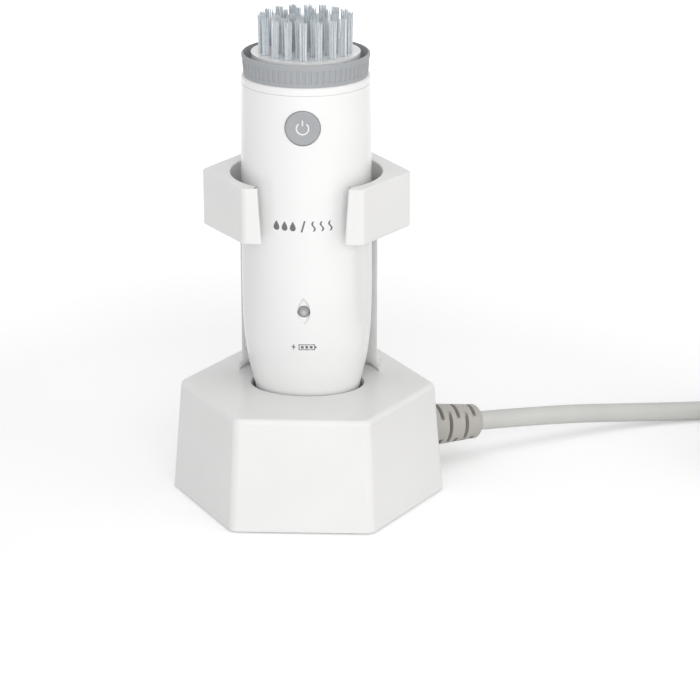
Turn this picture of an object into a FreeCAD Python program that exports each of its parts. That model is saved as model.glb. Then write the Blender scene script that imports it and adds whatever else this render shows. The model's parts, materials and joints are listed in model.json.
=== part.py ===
import FreeCAD, Part
import math
import os
import re
import Sketcher

Vector = FreeCAD.Vector

# Driving sizes in millimetres. Origin: centre of the stand's footprint on the floor, +Z up,
# -Y is the front of the stand, the lead leaves through the face 30 degrees behind +X.
SIZES = {
    # six-sided base of the stand
    "baseCorner": 45.0, "wallLean": 3.1, "baseHigh": 37.5, "sideWall": 2.2, "topWall": 2.4,
    "edgeRound": 3.5, "rimRound": 1.8, "footProud": 0.6, "bossSpread": 33.0, "bossRadius": 3.0,
    "plateThick": 2.4, "plateLift": 0.3, "plateGap": 0.15,
    "footRadius": 4.0, "footSpread": 31.0, "footSink": 0.8, "footGap": 0.1,
    "screwRadius": 1.1, "headRadius": 2.1, "headThick": 1.2, "screwGap": 0.05, "screwGrip": 9.0,
    # charging well under the top of the base
    "wellClearWide": 1.1, "wellClearDeep": 0.8, "seatClear": 0.5, "wellWall": 1.3, "wellFlange": 3.2,
    "flangeThickness": 1.5,
    "coreRadius": 11.0, "coreHigh": 5.0, "coreFloor": 1.4, "corePost": 3.0, "coreRim": 1.5,
    "bobbinWall": 0.5, "coilGap": 0.1, "pedestalRadius": 8.0,
    # charger board standing in front of the well, and the parts on its face
    "boardStand": 6.7, "boardThick": 1.6, "boardWide": 40.0, "boardTall": 25.0, "railHigh": 4.0,
    "railThick": 1.6, "railWide": 8.0, "railGap": 0.1, "railIn": 4.0,
    "canRadius": 4.0, "canLong": 9.0, "canAcross": -11.0, "canUp": 12.0,
    "chokeWide": 10.0, "chokeDeep": 7.0, "chokeTall": 11.0, "chokeLeft": -4.0, "chokeUp": 8.0,
    "fuseWide": 8.0, "fuseDeep": 3.6, "fuseTall": 4.0, "fuseLeft": -16.0, "fuseUp": 19.0,
    # strain relief and lead
    "leadRadius": 3.25, "leadStraight": 19.0, "reliefHigh": 14.6, "reliefDroop": 6.0, "reliefLong": 26.0,
    "reliefBase": 7.6,
    "tipWall": 2.65, "tipRound": 1.3, "reliefRing": 2.6, "neckWall": 1.65, "slotStart": 2.4,
    "slotPitch": 3.25, "slotWide": 1.4, "slotWeb": 3.5, "neckLong": 7.4, "neckInto": 1.2,
    "flangeRise": 1.5, "wallBlock": 40.0,
    "flangeThick": 1.6, "clipRise": 2.7, "clipThick": 1.5, "reliefGap": 0.1, "wireRadius": 0.9,
    "wireClear": 1.0, "wireApart": 1.3,
    "ringX": 184.0, "ringY": 30.0, "ringInner": 29.75, "ringRound": 3.0,
    # plug lying on the coiled lead
    "plugX": 219.0, "plugBack": 28.0, "plugNeck": 10.0, "plugLong": 24.0, "plugWide": 24.0,
    "plugThick": 13.0, "plugRound": 3.0, "plugTaper": 6.0, "bladeLong": 16.0, "bladeThick": 1.5,
    "bladeWide": 6.3, "bladePitch": 12.7, "plugNose": 5.0, "noseShoulder": 2.0, "noseWall": 0.8,
    # post and collar behind and round the handle
    "postSet": 1.0, "postThick": 3.5, "postHalf": 22.2, "postHigh": 53.4, "shoeHalf": 23.2,
    "shoeHigh": 2.6, "shoeOut": 1.6, "collarHigh": 18.1, "collarClear": 3.4, "collarReach": 9.2,
    "frontCut": 1.9, "collarFace": 18.7, "mouthLow": 13.0, "mouthHigh": 14.2, "collarRound": 1.2,
    "postScrewAt": 40.0, "collarScrewAt": 24.0, "collarScrewLong": 26.0, "collarPilot": 10.0,
    # handle outline: height above the foot of the handle, half width and half depth of each section
    "capWide": 14.3, "capDeep": 10.3, "throatRise": 10.0, "throatWide": 15.9, "throatDeep": 11.8,
    "rimRise": 20.5, "rimWide": 17.2, "rimDeep": 12.9, "flareRise": 29.0, "flareWide": 19.2,
    "flareDeep": 16.0, "hipRise": 40.0, "hipWide": 20.5, "hipDeep": 18.9, "swellRise": 53.0,
    "swellWide": 20.9, "swellDeep": 20.5, "gripRise": 73.0, "gripWide": 20.8, "gripDeep": 20.8,
    "neckRise": 101.0, "neckWide": 20.7, "neckDeep": 20.7, "crownWide": 20.4, "crownDeep": 20.4,
    "shellWall": 2.0, "seamBack": 2.0, "splitRise": 9.0, "lipHigh": 3.2, "lipWall": 1.3, "fitGap": 0.1,
    "capFloor": 1.8, "sealBead": 0.5,
    # pickup under the battery
    "pickupRadius": 6.9, "pickupThick": 1.2, "pickupCoil": 6.5, "pickupHigh": 2.6, "pickupCore": 3.0,
    # battery in its chassis
    "cellRadius": 7.0, "cellRise": 16.0, "cellLong": 50.0, "cellPip": 2.5, "cellPipHigh": 1.0,
    "cradleGap": 0.2, "cradleWall": 1.4, "stopThick": 1.5, "tabThick": 0.4, "tabHalf": 3.0,
    "tabDeep": 5.0, "tailHalf": 1.5, "hoopLift": 2.0, "hoopHigh": 3.0, "hoopClear": 0.6,
    "armHalf": 3.0, "armHigh": 4.0, "armLift": 15.0, "seatHole": 2.2,
    # main board up the front of the handle
    "boardClear": 0.1, "mainThick": 1.2, "mainHalf": 8.0, "mainRise": 41.0, "mainDrop": 5.0,
    # charge light: eye-shaped scoop, lens and lamp
    "lampRise": 51.0, "eyeHalf": 2.1, "eyeTall": 4.65, "eyeSink": 1.2, "lensRadius": 1.9,
    "lensGap": 0.05, "lensLong": 2.8, "lensSink": 0.9, "lampRadius": 1.5, "lampSink": 3.9,
    # power button and its switch
    "buttonDrop": 10.0, "buttonRadius": 5.5, "buttonProud": 0.8, "buttonLip": 0.7, "buttonFlange": 0.8,
    "buttonGap": 0.12, "buttonCrown": 0.8, "switchThick": 1.2, "switchHalf": 3.0,
    # motor
    "motorRadius": 12.0, "motorRise": 7.0, "motorHigh": 22.0, "canWall": 0.8, "magnetThick": 2.0,
    "magnetGap": 5.0, "magnetLift": 4.0, "magnetDrop": 3.0, "armatureRadius": 8.4, "shaftRadius": 1.0,
    "shaftGap": 0.05, "shaftLift": 0.2, "cupHigh": 14.0, "cupWall": 1.2,
    # planetary gear
    "gearModule": 0.6, "gearTip": 0.9, "gearRoot": 1.15, "sunTeeth": 12, "planetTeeth": 12,
    "gearSlack": 0.14, "gearTall": 6.0,
    "ringRim": 2.2, "ringFloor": 1.0, "ringTall": 14.0, "pinRadius": 1.1, "pinGap": 0.05,
    "carrierThick": 2.4, "carrierRim": 2.4, "carrierRoom": 2.2, "stackGap": 0.5,
    # output shaft, bush, seal and nose
    "outputRadius": 4.0, "hexHalf": 3.0, "hexGap": 0.08, "bushRadius": 8.0, "bushHigh": 6.0,
    "sealHigh": 3.0, "noseSeat": 2.5, "noseHub": 11.0, "noseWeb": 3.0, "noseCap": 2.5, "noseHole": 5.0,
    "noseRound": 0.6,
    # brush head
    "skirtHigh": 7.0, "skirtWall": 1.6, "skirtSet": 0.8, "skirtFlare": 0.6, "hubClear": 1.6,
    "hubThick": 6.0, "hubLift": 1.2, "socketDeep": 4.5, "tuftRadius": 1.15, "tuftLong": 12.0,
    "tuftSink": 1.5, "tuftStep": 4.6, "tuftTwist": 10.0,
    # screws that close the handle
    "shellScrewX": 14.0, "shellScrewRise": 57.0, "shellScrewLong": 12.0, "shellBoss": 2.2,
    "shellScrewRadius": 0.9, "shellHead": 1.7, "shellHeadThick": 1.0, "shellScrewGrip": 8.0,
    "frontBoss": 18.0, "rearBoss": 14.0,
}

# Sizes worked out from the driving ones, so that what fits together changes together.
DERIVED = {
    "topCorner": "baseCorner - wallLean",
    "capUp": "baseHigh - rimRise",
    "throatUp": "capUp + throatRise",
    "rimUp": "capUp + rimRise",
    "flareUp": "capUp + flareRise",
    "hipUp": "capUp + hipRise",
    "swellUp": "capUp + swellRise",
    "gripUp": "capUp + gripRise",
    "neckUp": "capUp + neckRise",
    "crownUp": "motorLow + motorHigh + ringTall + stackGap + bushHigh + sealHigh + noseSeat",
    "capSplit": "capUp + splitRise",
    "cellLow": "capUp + cellRise",
    "motorLow": "cellLow + cellLong + motorRise",
    "mainLow": "capUp + mainRise",
    "mainHigh": "crownUp - mainDrop",
    "mainFront": "motorRadius + fitGap + cupWall + boardClear + mainThick",
    "lampUp": "capUp + lampRise",
    "buttonUp": "crownUp - buttonDrop",
    "shellScrewUp": "capUp + shellScrewRise",
    "wellWide": "rimWide + wellClearWide",
    "wellDeep": "rimDeep + wellClearDeep",
    "wellFloor": "capUp - seatClear",
    "boardFront": "wellDeep + wellFlange + boardStand",
    "collarLow": "baseHigh + postHigh",
    "collarHole": "gripWide + collarClear",
    "collarCorner": "collarHole + collarReach",
    "collarFront": "collarHole - frontCut",
    "postInner": "collarHole + postSet",
    "postOuter": "postInner + postThick",
    "reliefTip": "leadRadius + tipWall",
    "reliefNeck": "leadRadius + neckWall",
    "flangeRadius": "reliefNeck + flangeRise",
    "clipRadius": "reliefNeck + clipRise",
    "ringOuter": "ringInner + 4 * leadRadius",
    "ringHigh": "6 * leadRadius",
    "ringRadius": "gearModule * (sunTeeth + 2 * planetTeeth) / 2 + ringRim",
    "carrierRadius": "gearModule * (sunTeeth + planetTeeth) / 2 + carrierRim",
    "hubRadius": "crownDeep - skirtWall - hubClear",
}

# Route of the lead from the strain relief to its coil, every point chosen by hand.
LEAD_ROUTE = [
    (90.0, 51.0, 7.7), (108.0, 59.2, 5.2),
    (127.0, 65.4, 3.5), (146.0, 68.8, 3.3), (165.5, 69.7, 3.3),
]

# Wires from the strain relief to the charger board, in base coordinates.
WIRE_ROUTE = [
    (26.5, 7.0, 12.0), (27.0, -5.0, 9.5), (24.0, -13.5, 9.5), (18.0, -17.0, 11.0), (16.5, -21.7, 12.0),
]

SIX = "60 deg"

doc = FreeCAD.newDocument("HandScrubber")
sheet = doc.addObject("Spreadsheet::Sheet", "Sizes")
for row, (alias, number) in enumerate(SIZES.items(), start=1):
    sheet.set(f"A{row}", alias)
    sheet.set(f"B{row}", str(number))
    sheet.setAlias(f"B{row}", alias)
doc.recompute()

nodes = {}


def full(expression):
    """Expression in which every driving size is a reference to its cell."""
    def cell(word):
        name = word.group()
        if name in DERIVED:
            return f"({full(DERIVED[name])})"
        return "Sizes." + name if name in SIZES else name
    return re.sub(r"[A-Za-z]\w*", cell, str(expression))


def value(expression):
    """Number that an expression of the sheet's names gives now."""
    return float(sheet.evalExpression(full(expression)))


def bind(item, name, expression):
    item.setExpression(name, full(expression))


def keep(name, item, at=None):
    """Name a finished sub-part as a node, and place it where that is given."""
    item.Label = name
    nodes[name] = item
    if at:
        for axis, expression in zip("xyz", at):
            bind(item, "Placement.Base." + axis, expression)
    return item


def solid(kind, name, at, **sizes):
    """Part primitive with its sizes and place bound to the sheet."""
    item = doc.addObject("Part::" + kind, name)
    for key, expression in sizes.items():
        bind(item, key, expression)
    for axis, expression in zip("xyz", at):
        bind(item, "Placement.Base." + axis, expression)
    return item


def rod(name, radius, low, high, x="0", y="0"):
    return solid("Cylinder", name, (x, y, low), Radius=radius, Height=f"({high}) - ({low})")


def pin(name, radius, x, front, z, length):
    """Cylinder lying along +Y from its front face."""
    item = doc.addObject("Part::Cylinder", name)
    item.Placement = FreeCAD.Placement(Vector(), FreeCAD.Rotation(Vector(1, 0, 0), -90))
    bind(item, "Radius", radius)
    bind(item, "Height", length)
    for axis, expression in zip("xyz", (x, front, z)):
        bind(item, "Placement.Base." + axis, expression)
    return item


def block(name, xs, ys, zs):
    """Box between two values along each axis."""
    return solid("Box", name, (xs[0], ys[0], zs[0]), Length=f"({xs[1]}) - ({xs[0]})",
                 Width=f"({ys[1]}) - ({ys[0]})", Height=f"({zs[1]}) - ({zs[0]})")


def join(name, *shapes):
    item = doc.addObject("Part::MultiFuse", name)
    item.Shapes = list(shapes)
    item.Refine = True
    return item


def meet(name, *shapes):
    item = doc.addObject("Part::MultiCommon", name)
    item.Shapes = list(shapes)
    return item


def cut(name, base, *tools):
    item = doc.addObject("Part::Cut", name)
    item.Base = base
    item.Tool = tools[0] if len(tools) == 1 else join(name + "_tools", *tools)
    return item


def plane(body, role):
    return [feature for feature in body.Origin.OriginFeatures if feature.Role == role][0]


def sketch_on(body, name, role="XY_Plane", lift="0"):
    sketch = body.newObject("Sketcher::SketchObject", name)
    sketch.AttachmentSupport = (plane(body, role), [""])
    sketch.MapMode = "FlatFace"
    bind(sketch, "AttachmentOffset.Base.z", lift)
    return sketch


def pin_point(sketch, index, end, across, up):
    """Tie one sketch point to two expressions."""
    for kind, axis, expression in (("DistanceX", -2, across), ("DistanceY", -1, up)):
        number = value(expression)
        if abs(number) < 1e-9:
            sketch.addConstraint(Sketcher.Constraint("PointOnObject", index, end, axis))
            continue
        place = sketch.addConstraint(Sketcher.Constraint(kind, -1, 1, index, end, number))
        bind(sketch, f"Constraints[{place}]", expression)


def outline(sketch, points):
    """Closed polygon whose corners are pairs of expressions."""
    corners = [Vector(value(across), value(up), 0) for across, up in points]
    first = sketch.GeometryCount
    count = len(points)
    for index in range(count):
        sketch.addGeometry(Part.LineSegment(corners[index], corners[(index + 1) % count]), False)
    for index in range(count):
        after = first + (index + 1) % count
        sketch.addConstraint(Sketcher.Constraint("Coincident", first + index, 2, after, 1))
        pin_point(sketch, first + index, 1, *points[index])


def circle(sketch, across, up, radius):
    centre = Vector(value(across), value(up), 0)
    index = sketch.addGeometry(Part.Circle(centre, Vector(0, 0, 1), value(radius)),
                               False)
    pin_point(sketch, index, 3, across, up)
    place = sketch.addConstraint(Sketcher.Constraint("Radius", index, value(radius)))
    bind(sketch, f"Constraints[{place}]", radius)


def hexagon(radius):
    return [(f"({radius}) * cos({k} * {SIX})", f"({radius}) * sin({k} * {SIX})") for k in range(6)]


def turned(name, profile):
    """Body turned round Z from a closed profile of (radius, height) corners."""
    body = doc.addObject("PartDesign::Body", name)
    sketch = sketch_on(body, name + "_profile", "XZ_Plane")
    outline(sketch, profile)
    feature = body.newObject("PartDesign::Revolution", name + "_turned")
    feature.Profile = sketch
    feature.ReferenceAxis = (sketch, ["V_Axis"])
    feature.Angle = 360
    return body


def tube_profile(inner, outer, low, high):
    return [(inner, low), (outer, low), (outer, high), (inner, high)]


def ring(name, inner, outer, low, high):
    return turned(name, tube_profile(inner, outer, low, high))


def padded(name, points, low, height):
    """Body padded up from a polygon."""
    body = doc.addObject("PartDesign::Body", name)
    sketch = sketch_on(body, name + "_outline", lift=low)
    outline(sketch, points)
    feature = body.newObject("PartDesign::Pad", name + "_pad")
    feature.Profile = sketch
    bind(feature, "Length", height)
    return body


def pocket(body, name, lift, depth, draw, up=True):
    """Pocket a sketch out of a body, upwards from its plane unless told otherwise."""
    sketch = sketch_on(body, name + "_outline", lift=lift)
    draw(sketch)
    doc.recompute()
    before = body.Shape.Volume
    feature = body.newObject("PartDesign::Pocket", name)
    feature.Profile = sketch
    feature.Reversed = up
    bind(feature, "Length", depth)
    doc.recompute()
    assert body.Shape.Volume < before - 1e-6, name + " cuts nothing"
    return feature


def rounded(body, name, radius, wanted):
    """Fillet the body's edges that a test picks."""
    doc.recompute()
    base = body.Tip
    edges = [f"Edge{k}" for k, edge in enumerate(base.Shape.Edges, start=1) if wanted(edge)]
    feature = body.newObject("PartDesign::Fillet", name)
    feature.Base = (base, edges)
    bind(feature, "Radius", radius)
    doc.recompute()
    return feature


def copies(name, source, moves):
    """One node of separate, equal solids: the source shape at several placements."""
    doc.recompute()
    shapes = []
    for move in moves:
        shape = source.Shape.copy()
        shape.Placement = move.multiply(shape.Placement)
        shapes.append(shape)
    item = doc.addObject("Part::Feature", name)
    item.Shape = Part.makeCompound(shapes)
    return item


def shift(x=0.0, y=0.0, z=0.0):
    return FreeCAD.Placement(Vector(x, y, z), FreeCAD.Rotation())


def round_spots(radius, angles):
    return [(radius * math.cos(math.radians(a)), radius * math.sin(math.radians(a))) for a in angles]


def level_edge(edge, height):
    box = edge.BoundBox
    return abs(box.ZMin - height) < 1e-4 and abs(box.ZMax - height) < 1e-4


def ellipse_at(name, wide, deep, up):
    return solid("Ellipse", name, ("0", "0", up), MajorRadius=wide, MinorRadius=deep)


def oval(name, wide, deep, low, high):
    """Straight oval prism."""
    item = doc.addObject("Part::Extrusion", name)
    item.Base = ellipse_at(name + "_oval", wide, deep, low)
    item.DirMode = "Custom"
    item.Dir = Vector(0, 0, 1)
    item.Solid = True
    bind(item, "LengthFwd", f"({high}) - ({low})")
    return item


# ---------------------------------------------------------------- stand

LEAN = "(baseCorner - topCorner) / (baseHigh - footProud)"
PLATE_LOW = "footProud + plateLift"
PLATE_TOP = "footProud + plateLift + plateThick"
UNDER_TOP = "baseHigh - topWall"
INNER_LOSS = "sideWall / cos(30 deg)"
BOSS_ANGLES = (60, 180, 300)
FACE_ANGLES = (30, 90, 150, 210, 270, 330)
WALL_OUT = f"(baseCorner - ({LEAN}) * (reliefHigh - footProud)) * cos(30 deg)"


def relief_place():
    """Placement of things built along the strain relief: local Z leaves the base."""
    out = value(WALL_OUT)
    turn = FreeCAD.Rotation(Vector(0, 0, 1), 30).multiply(
        FreeCAD.Rotation(Vector(0, 1, 0), 90 + value("reliefDroop")))
    return FreeCAD.Placement(Vector(out * math.cos(math.pi / 6), out * math.sin(math.pi / 6),
                                    value("reliefHigh")), turn)


def along_relief(item):
    place = relief_place()
    item.Placement = place
    bind(item, "Placement.Base.x", f"({WALL_OUT}) * cos(30 deg)")
    bind(item, "Placement.Base.y", f"({WALL_OUT}) * sin(30 deg)")
    bind(item, "Placement.Base.z", "reliefHigh")
    return item


def base_shell():
    body = doc.addObject("PartDesign::Body", "base_moulding")
    low = sketch_on(body, "base_low", lift="footProud")
    outline(low, hexagon("baseCorner"))
    block_pad = body.newObject("PartDesign::Pad", "base_pad")
    block_pad.Profile = low
    bind(block_pad, "Length", "baseHigh - footProud")
    bind(block_pad, "TaperAngle", f"-atan({LEAN} * cos(30 deg))")
    rounded(body, "base_edges", "edgeRound", lambda edge: edge.BoundBox.ZLength > 1)
    top = value("baseHigh")
    rounded(body, "base_rim", "rimRound", lambda edge: level_edge(edge, top))
    under = sketch_on(body, "cavity_low", lift="footProud")
    outline(under, hexagon(f"baseCorner - {INNER_LOSS}"))
    above = sketch_on(body, "cavity_high", lift=UNDER_TOP)
    outline(above, hexagon(f"topCorner + ({LEAN}) * topWall - {INNER_LOSS}"))
    cavity = body.newObject("PartDesign::SubtractiveLoft", "base_cavity")
    cavity.Profile = under
    cavity.Sections = [above]
    spots = [(f"bossSpread * cos({a} deg)", f"bossSpread * sin({a} deg)") for a in BOSS_ANGLES]
    bosses = sketch_on(body, "boss_outline", lift=PLATE_TOP)
    for across, up in spots:
        circle(bosses, across, up, "bossRadius")
    pad = body.newObject("PartDesign::Pad", "base_bosses")
    pad.Profile = bosses
    bind(pad, "Length", f"{UNDER_TOP} - ({PLATE_TOP})")
    pocket(body, "boss_holes", PLATE_TOP, "screwGrip + 1",
           lambda sketch: [circle(sketch, x, y, "screwRadius + screwGap") for x, y in spots])
    mouth = oval("well_mouth", "wellWide", "wellDeep", f"{UNDER_TOP} - 1", "baseHigh + 1")
    passage = tube_profile("0", "reliefNeck + reliefGap", "-neckLong", "neckLong")
    bore = along_relief(turned("relief_bore", passage))
    tools = [mouth, bore]
    for side, name in ((1, "right"), (-1, "left")):
        x = f"{side} * (postInner + postOuter) / 2 * sin(postScrewAt * 1 deg)"
        y = "(postInner + postOuter) / 2 * cos(postScrewAt * 1 deg)"
        tools.append(rod(f"post_hole_{name}", "screwRadius + screwGap", f"{UNDER_TOP} - 1",
                         "baseHigh + 1", x, y))
    keep("base_shell", cut("base_shell", body, *tools))


def base_plate():
    body = padded("plate_moulding", hexagon(f"baseCorner - ({LEAN}) * (plateLift + plateThick) - {INNER_LOSS}"
                                            " - plateGap"), PLATE_LOW, "plateThick")
    spots = [(f"bossSpread * cos({a} deg)", f"bossSpread * sin({a} deg)") for a in BOSS_ANGLES]
    feet = [(f"footSpread * cos({a} deg)", f"footSpread * sin({a} deg)") for a in FACE_ANGLES]
    pocket(body, "plate_holes", PLATE_LOW, "plateThick",
           lambda sketch: [circle(sketch, x, y, "screwRadius + screwGap") for x, y in spots])
    pocket(body, "plate_heads", PLATE_LOW, "headThick + screwGap",
           lambda sketch: [circle(sketch, x, y, "headRadius + screwGap") for x, y in spots])
    pocket(body, "plate_feet", PLATE_LOW, "footSink",
           lambda sketch: [circle(sketch, x, y, "footRadius + footGap") for x, y in feet])
    pedestal = rod("pedestal", "pedestalRadius", PLATE_TOP, "wellFloor - wellWall - coreHigh")
    rails = []
    for side, name in ((1, "right"), (-1, "left")):
        xs = (f"{side} * (boardWide / 2 - railIn) - railWide / 2",
              f"{side} * (boardWide / 2 - railIn) + railWide / 2")
        rails.append(block(f"rail_front_{name}", xs,
                           ("-boardFront - railGap - railThick", "-boardFront - railGap"),
                           (f"{PLATE_TOP} - 0.5", f"{PLATE_TOP} + railHigh")))
        rails.append(block(f"rail_back_{name}", xs, ("-boardFront + boardThick + railGap",
                                                     "-boardFront + boardThick + railGap + railThick"),
                           (f"{PLATE_TOP} - 0.5", f"{PLATE_TOP} + railHigh")))
    keep("base_plate", join("base_plate", body, pedestal, *rails))


def screw(name, shank, grip, head, thick):
    """Countersunk-seat screw, head down at z = 0, shank up."""
    return turned(name, [("0", "0"), (head, "0"), (head, thick), (shank, thick), (shank, f"{thick} + {grip}"),
                         ("0", f"{thick} + {grip}")])


def base_screws():
    model = screw("base_screw", "screwRadius", "plateThick - headThick + screwGrip - 1",
                  "headRadius", "headThick")
    low = value(PLATE_LOW)
    keep("base_screws", copies("base_screws", model,
                               [shift(x, y, low) for x, y in round_spots(value("bossSpread"), BOSS_ANGLES)]))


def rubber_feet():
    model = rod("foot", "footRadius", "0", f"{PLATE_LOW} + footSink")
    keep("rubber_feet", copies("rubber_feet", model,
                               [shift(x, y) for x, y in round_spots(value("footSpread"), FACE_ANGLES)]))


def charging_well():
    cup = oval("well_outside", "wellWide + wellWall", "wellDeep + wellWall",
               "wellFloor - wellWall", UNDER_TOP)
    flange = oval("well_flange", "wellWide + wellFlange", "wellDeep + wellFlange",
                  f"{UNDER_TOP} - flangeThickness", UNDER_TOP)
    hollow = oval("well_inside", "wellWide", "wellDeep", "wellFloor", f"{UNDER_TOP} + 1")
    keep("charging_well", cut("charging_well", join("well_body", cup, flange), hollow))


def charging_coil():
    low = "wellFloor - wellWall - coreHigh"
    floor = f"{low} + coreFloor"
    top = "wellFloor - wellWall"
    keep("pot_core", turned("pot_core", [
        ("0", low), ("coreRadius", low), ("coreRadius", top), ("coreRadius - coreRim", top),
        ("coreRadius - coreRim", floor), ("corePost", floor), ("corePost", top), ("0", top)]))
    inner = "corePost + coilGap"
    outer = "coreRadius - coreRim - coilGap"
    seat = f"{floor} + bobbinWall"
    keep("coil_bobbin", turned("coil_bobbin", [
        (inner, floor), (outer, floor), (outer, seat), (f"{inner} + bobbinWall", seat),
        (f"{inner} + bobbinWall", top), (inner, top)]))
    keep("primary_coil", ring("primary_coil", f"{inner} + bobbinWall", f"{outer} - coilGap", seat,
                              f"{top} - coilGap"))


def charger_board():
    low = PLATE_TOP
    keep("charger_board", block("charger_board", ("-boardWide / 2", "boardWide / 2"),
                                ("-boardFront", "-boardFront + boardThick"), (low, f"{low} + boardTall")))
    keep("board_capacitor", pin("board_capacitor", "canRadius", "canAcross", "-boardFront - canLong",
                                f"{low} + canUp", "canLong"))
    for name, part in (("board_choke", "choke"), ("board_fuse", "fuse")):
        keep(name, block(name, (f"{part}Left", f"{part}Left + {part}Wide"),
                         (f"-boardFront - {part}Deep", "-boardFront"),
                         (f"{low} + {part}Up", f"{low} + {part}Up + {part}Tall")))


def rear_post():
    """Curved plate standing on the base behind the handle, on a flared shoe."""
    def wall(name, inner, outer, half, low, high):
        body = cut(name + "_ring", rod(name + "_out", outer, low, high), rod(name + "_in", inner, low, high))
        span = block(name + "_span", (f"-{half}", half), ("8", "postOuter + 10"), (low, high))
        return meet(name, body, span)
    upright = wall("upright", "postInner", "postOuter", "postHalf", "baseHigh", "collarLow")
    shoe = wall("shoe", "postInner", "postOuter + shoeOut", "shoeHalf", "baseHigh", "baseHigh + shoeHigh")
    tools = []
    for side, name in ((1, "right"), (-1, "left")):
        for angle, where, low, high in (("postScrewAt", "foot", "baseHigh", "baseHigh + screwGrip"),
                                        ("collarScrewAt", "top", "collarLow - collarPilot", "collarLow")):
            x = f"{side} * (postInner + postOuter) / 2 * sin({angle} * 1 deg)"
            y = f"(postInner + postOuter) / 2 * cos({angle} * 1 deg)"
            tools.append(rod(f"pilot_{where}_{name}", "screwRadius + screwGap", low, high, x, y))
    keep("rear_post", cut("rear_post", join("post_body", upright, shoe), *tools))


def post_spots(angle):
    radius = value("(postInner + postOuter) / 2")
    turn = math.radians(value(angle))
    return [(side * radius * math.sin(turn), radius * math.cos(turn)) for side in (1, -1)]


def post_screws():
    model = screw("post_screw", "screwRadius", "topWall + screwGrip - 1", "headRadius", "headThick")
    low = value(f"{UNDER_TOP} - headThick")
    places = [shift(x, y, low) for x, y in post_spots("postScrewAt")]
    keep("post_screws", copies("post_screws", model, places))


def support_collar():
    """Six-sided C-shaped ring with a flat cut front, screwed down on the post."""
    across = "collarCorner * sin(30 deg)"
    back = "collarCorner * cos(30 deg)"
    points = [("collarCorner", "0"), (across, back), (f"-{across}", back), ("-collarCorner", "0"),
              ("-collarFace", "-collarFront"), ("collarFace", "-collarFront")]
    body = padded("collar_block", points, "collarLow", "collarHigh")
    low = value("collarLow")
    top = value("collarLow + collarHigh")
    rounded(body, "collar_corners", "2 * collarRound", lambda edge: edge.BoundBox.ZLength > 1)
    rounded(body, "collar_rims", "collarRound", lambda edge: level_edge(edge, low) or level_edge(edge, top))
    hole = rod("collar_hole", "collarHole", "collarLow - 1", "collarLow + collarHigh + 1")
    mouth = doc.addObject("Part::Feature", "collar_mouth")
    half_low = value("mouthLow")
    half_high = value("mouthHigh")
    corners = [Vector(-half_low, 0, low), Vector(half_low, 0, low), Vector(half_high, 0, top),
               Vector(-half_high, 0, top)]
    face = Part.Face(Part.makePolygon(corners + corners[:1]))
    mouth.Shape = face.extrude(Vector(0, -value("collarFront") - 5, 0))
    tools = [hole, mouth]
    for side, name in ((1, "right"), (-1, "left")):
        x = f"{side} * (postInner + postOuter) / 2 * sin(collarScrewAt * 1 deg)"
        y = "(postInner + postOuter) / 2 * cos(collarScrewAt * 1 deg)"
        tools.append(rod(f"collar_bore_{name}", "screwRadius + screwGap", "collarLow - 1",
                         "collarLow + collarHigh + 1", x, y))
        tools.append(rod(f"collar_sink_{name}", "headRadius + screwGap", "collarLow + collarHigh - headThick",
                         "collarLow + collarHigh + 1", x, y))
    keep("support_collar", cut("support_collar", body, *tools))


def collar_screws():
    model = screw("collar_screw", "screwRadius", "collarScrewLong - headThick", "headRadius", "headThick")
    top = value("collarLow + collarHigh")
    upside_down = FreeCAD.Rotation(Vector(1, 0, 0), 180)
    moves = [FreeCAD.Placement(Vector(x, y, top), upside_down) for x, y in post_spots("collarScrewAt")]
    keep("collar_screws", copies("collar_screws", model, moves))


def strain_relief():
    """Tapered sleeve with slots cut alternately from its sides and from above and below."""
    taper = turned("relief_cone", [
        ("0", "-2"), ("reliefBase", "-2"), ("reliefBase", "slotStart"),
        ("reliefTip", "reliefLong - reliefRing"), ("reliefTip", "reliefLong - tipRound"),
        ("reliefTip - tipRound", "reliefLong"), ("0", "reliefLong")])
    slots = []
    room = value("reliefLong - reliefRing - slotStart - slotWide")
    for index in range(int(room // value("slotPitch")) + 1):
        low = f"slotStart + {index} * slotPitch"
        zs = (low, f"{low} + slotWide")
        for side, name in ((1, "one"), (-1, "two")):
            near, far = ("slotWeb", "reliefBase + 1") if side > 0 else ("-reliefBase - 1", "-slotWeb")
            span = ("-reliefBase - 1", "reliefBase + 1")
            xs, ys = ((near, far), span) if index % 2 == 0 else (span, (near, far))
            slots.append(block(f"slot_{index}_{name}", xs, ys, zs))
    sleeve = along_relief(cut("relief_sleeve", taper, *slots))
    lean = math.degrees(math.atan(value(LEAN) * math.cos(math.pi / 6)))
    turn = FreeCAD.Rotation(Vector(0, 0, 1), 30).multiply(FreeCAD.Rotation(Vector(0, 1, 0), 90 - lean))
    wall = doc.addObject("Part::Box", "wall_side")
    for side in ("Length", "Width", "Height"):
        bind(wall, side, "wallBlock")
    far = value("wallBlock")
    wall.Placement = FreeCAD.Placement(relief_place().Base, turn).multiply(shift(-far / 2, -far / 2, -far))
    neck = along_relief(turned("relief_neck", [
        ("0", "-neckLong"), ("flangeRadius", "-neckLong"), ("flangeRadius", "-neckLong + flangeThick"),
        ("reliefNeck", "-neckLong + flangeThick"), ("reliefNeck", "neckInto"), ("0", "neckInto")]))
    keep("strain_relief", join("strain_relief", cut("relief_outside", sleeve, wall), neck))


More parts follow.
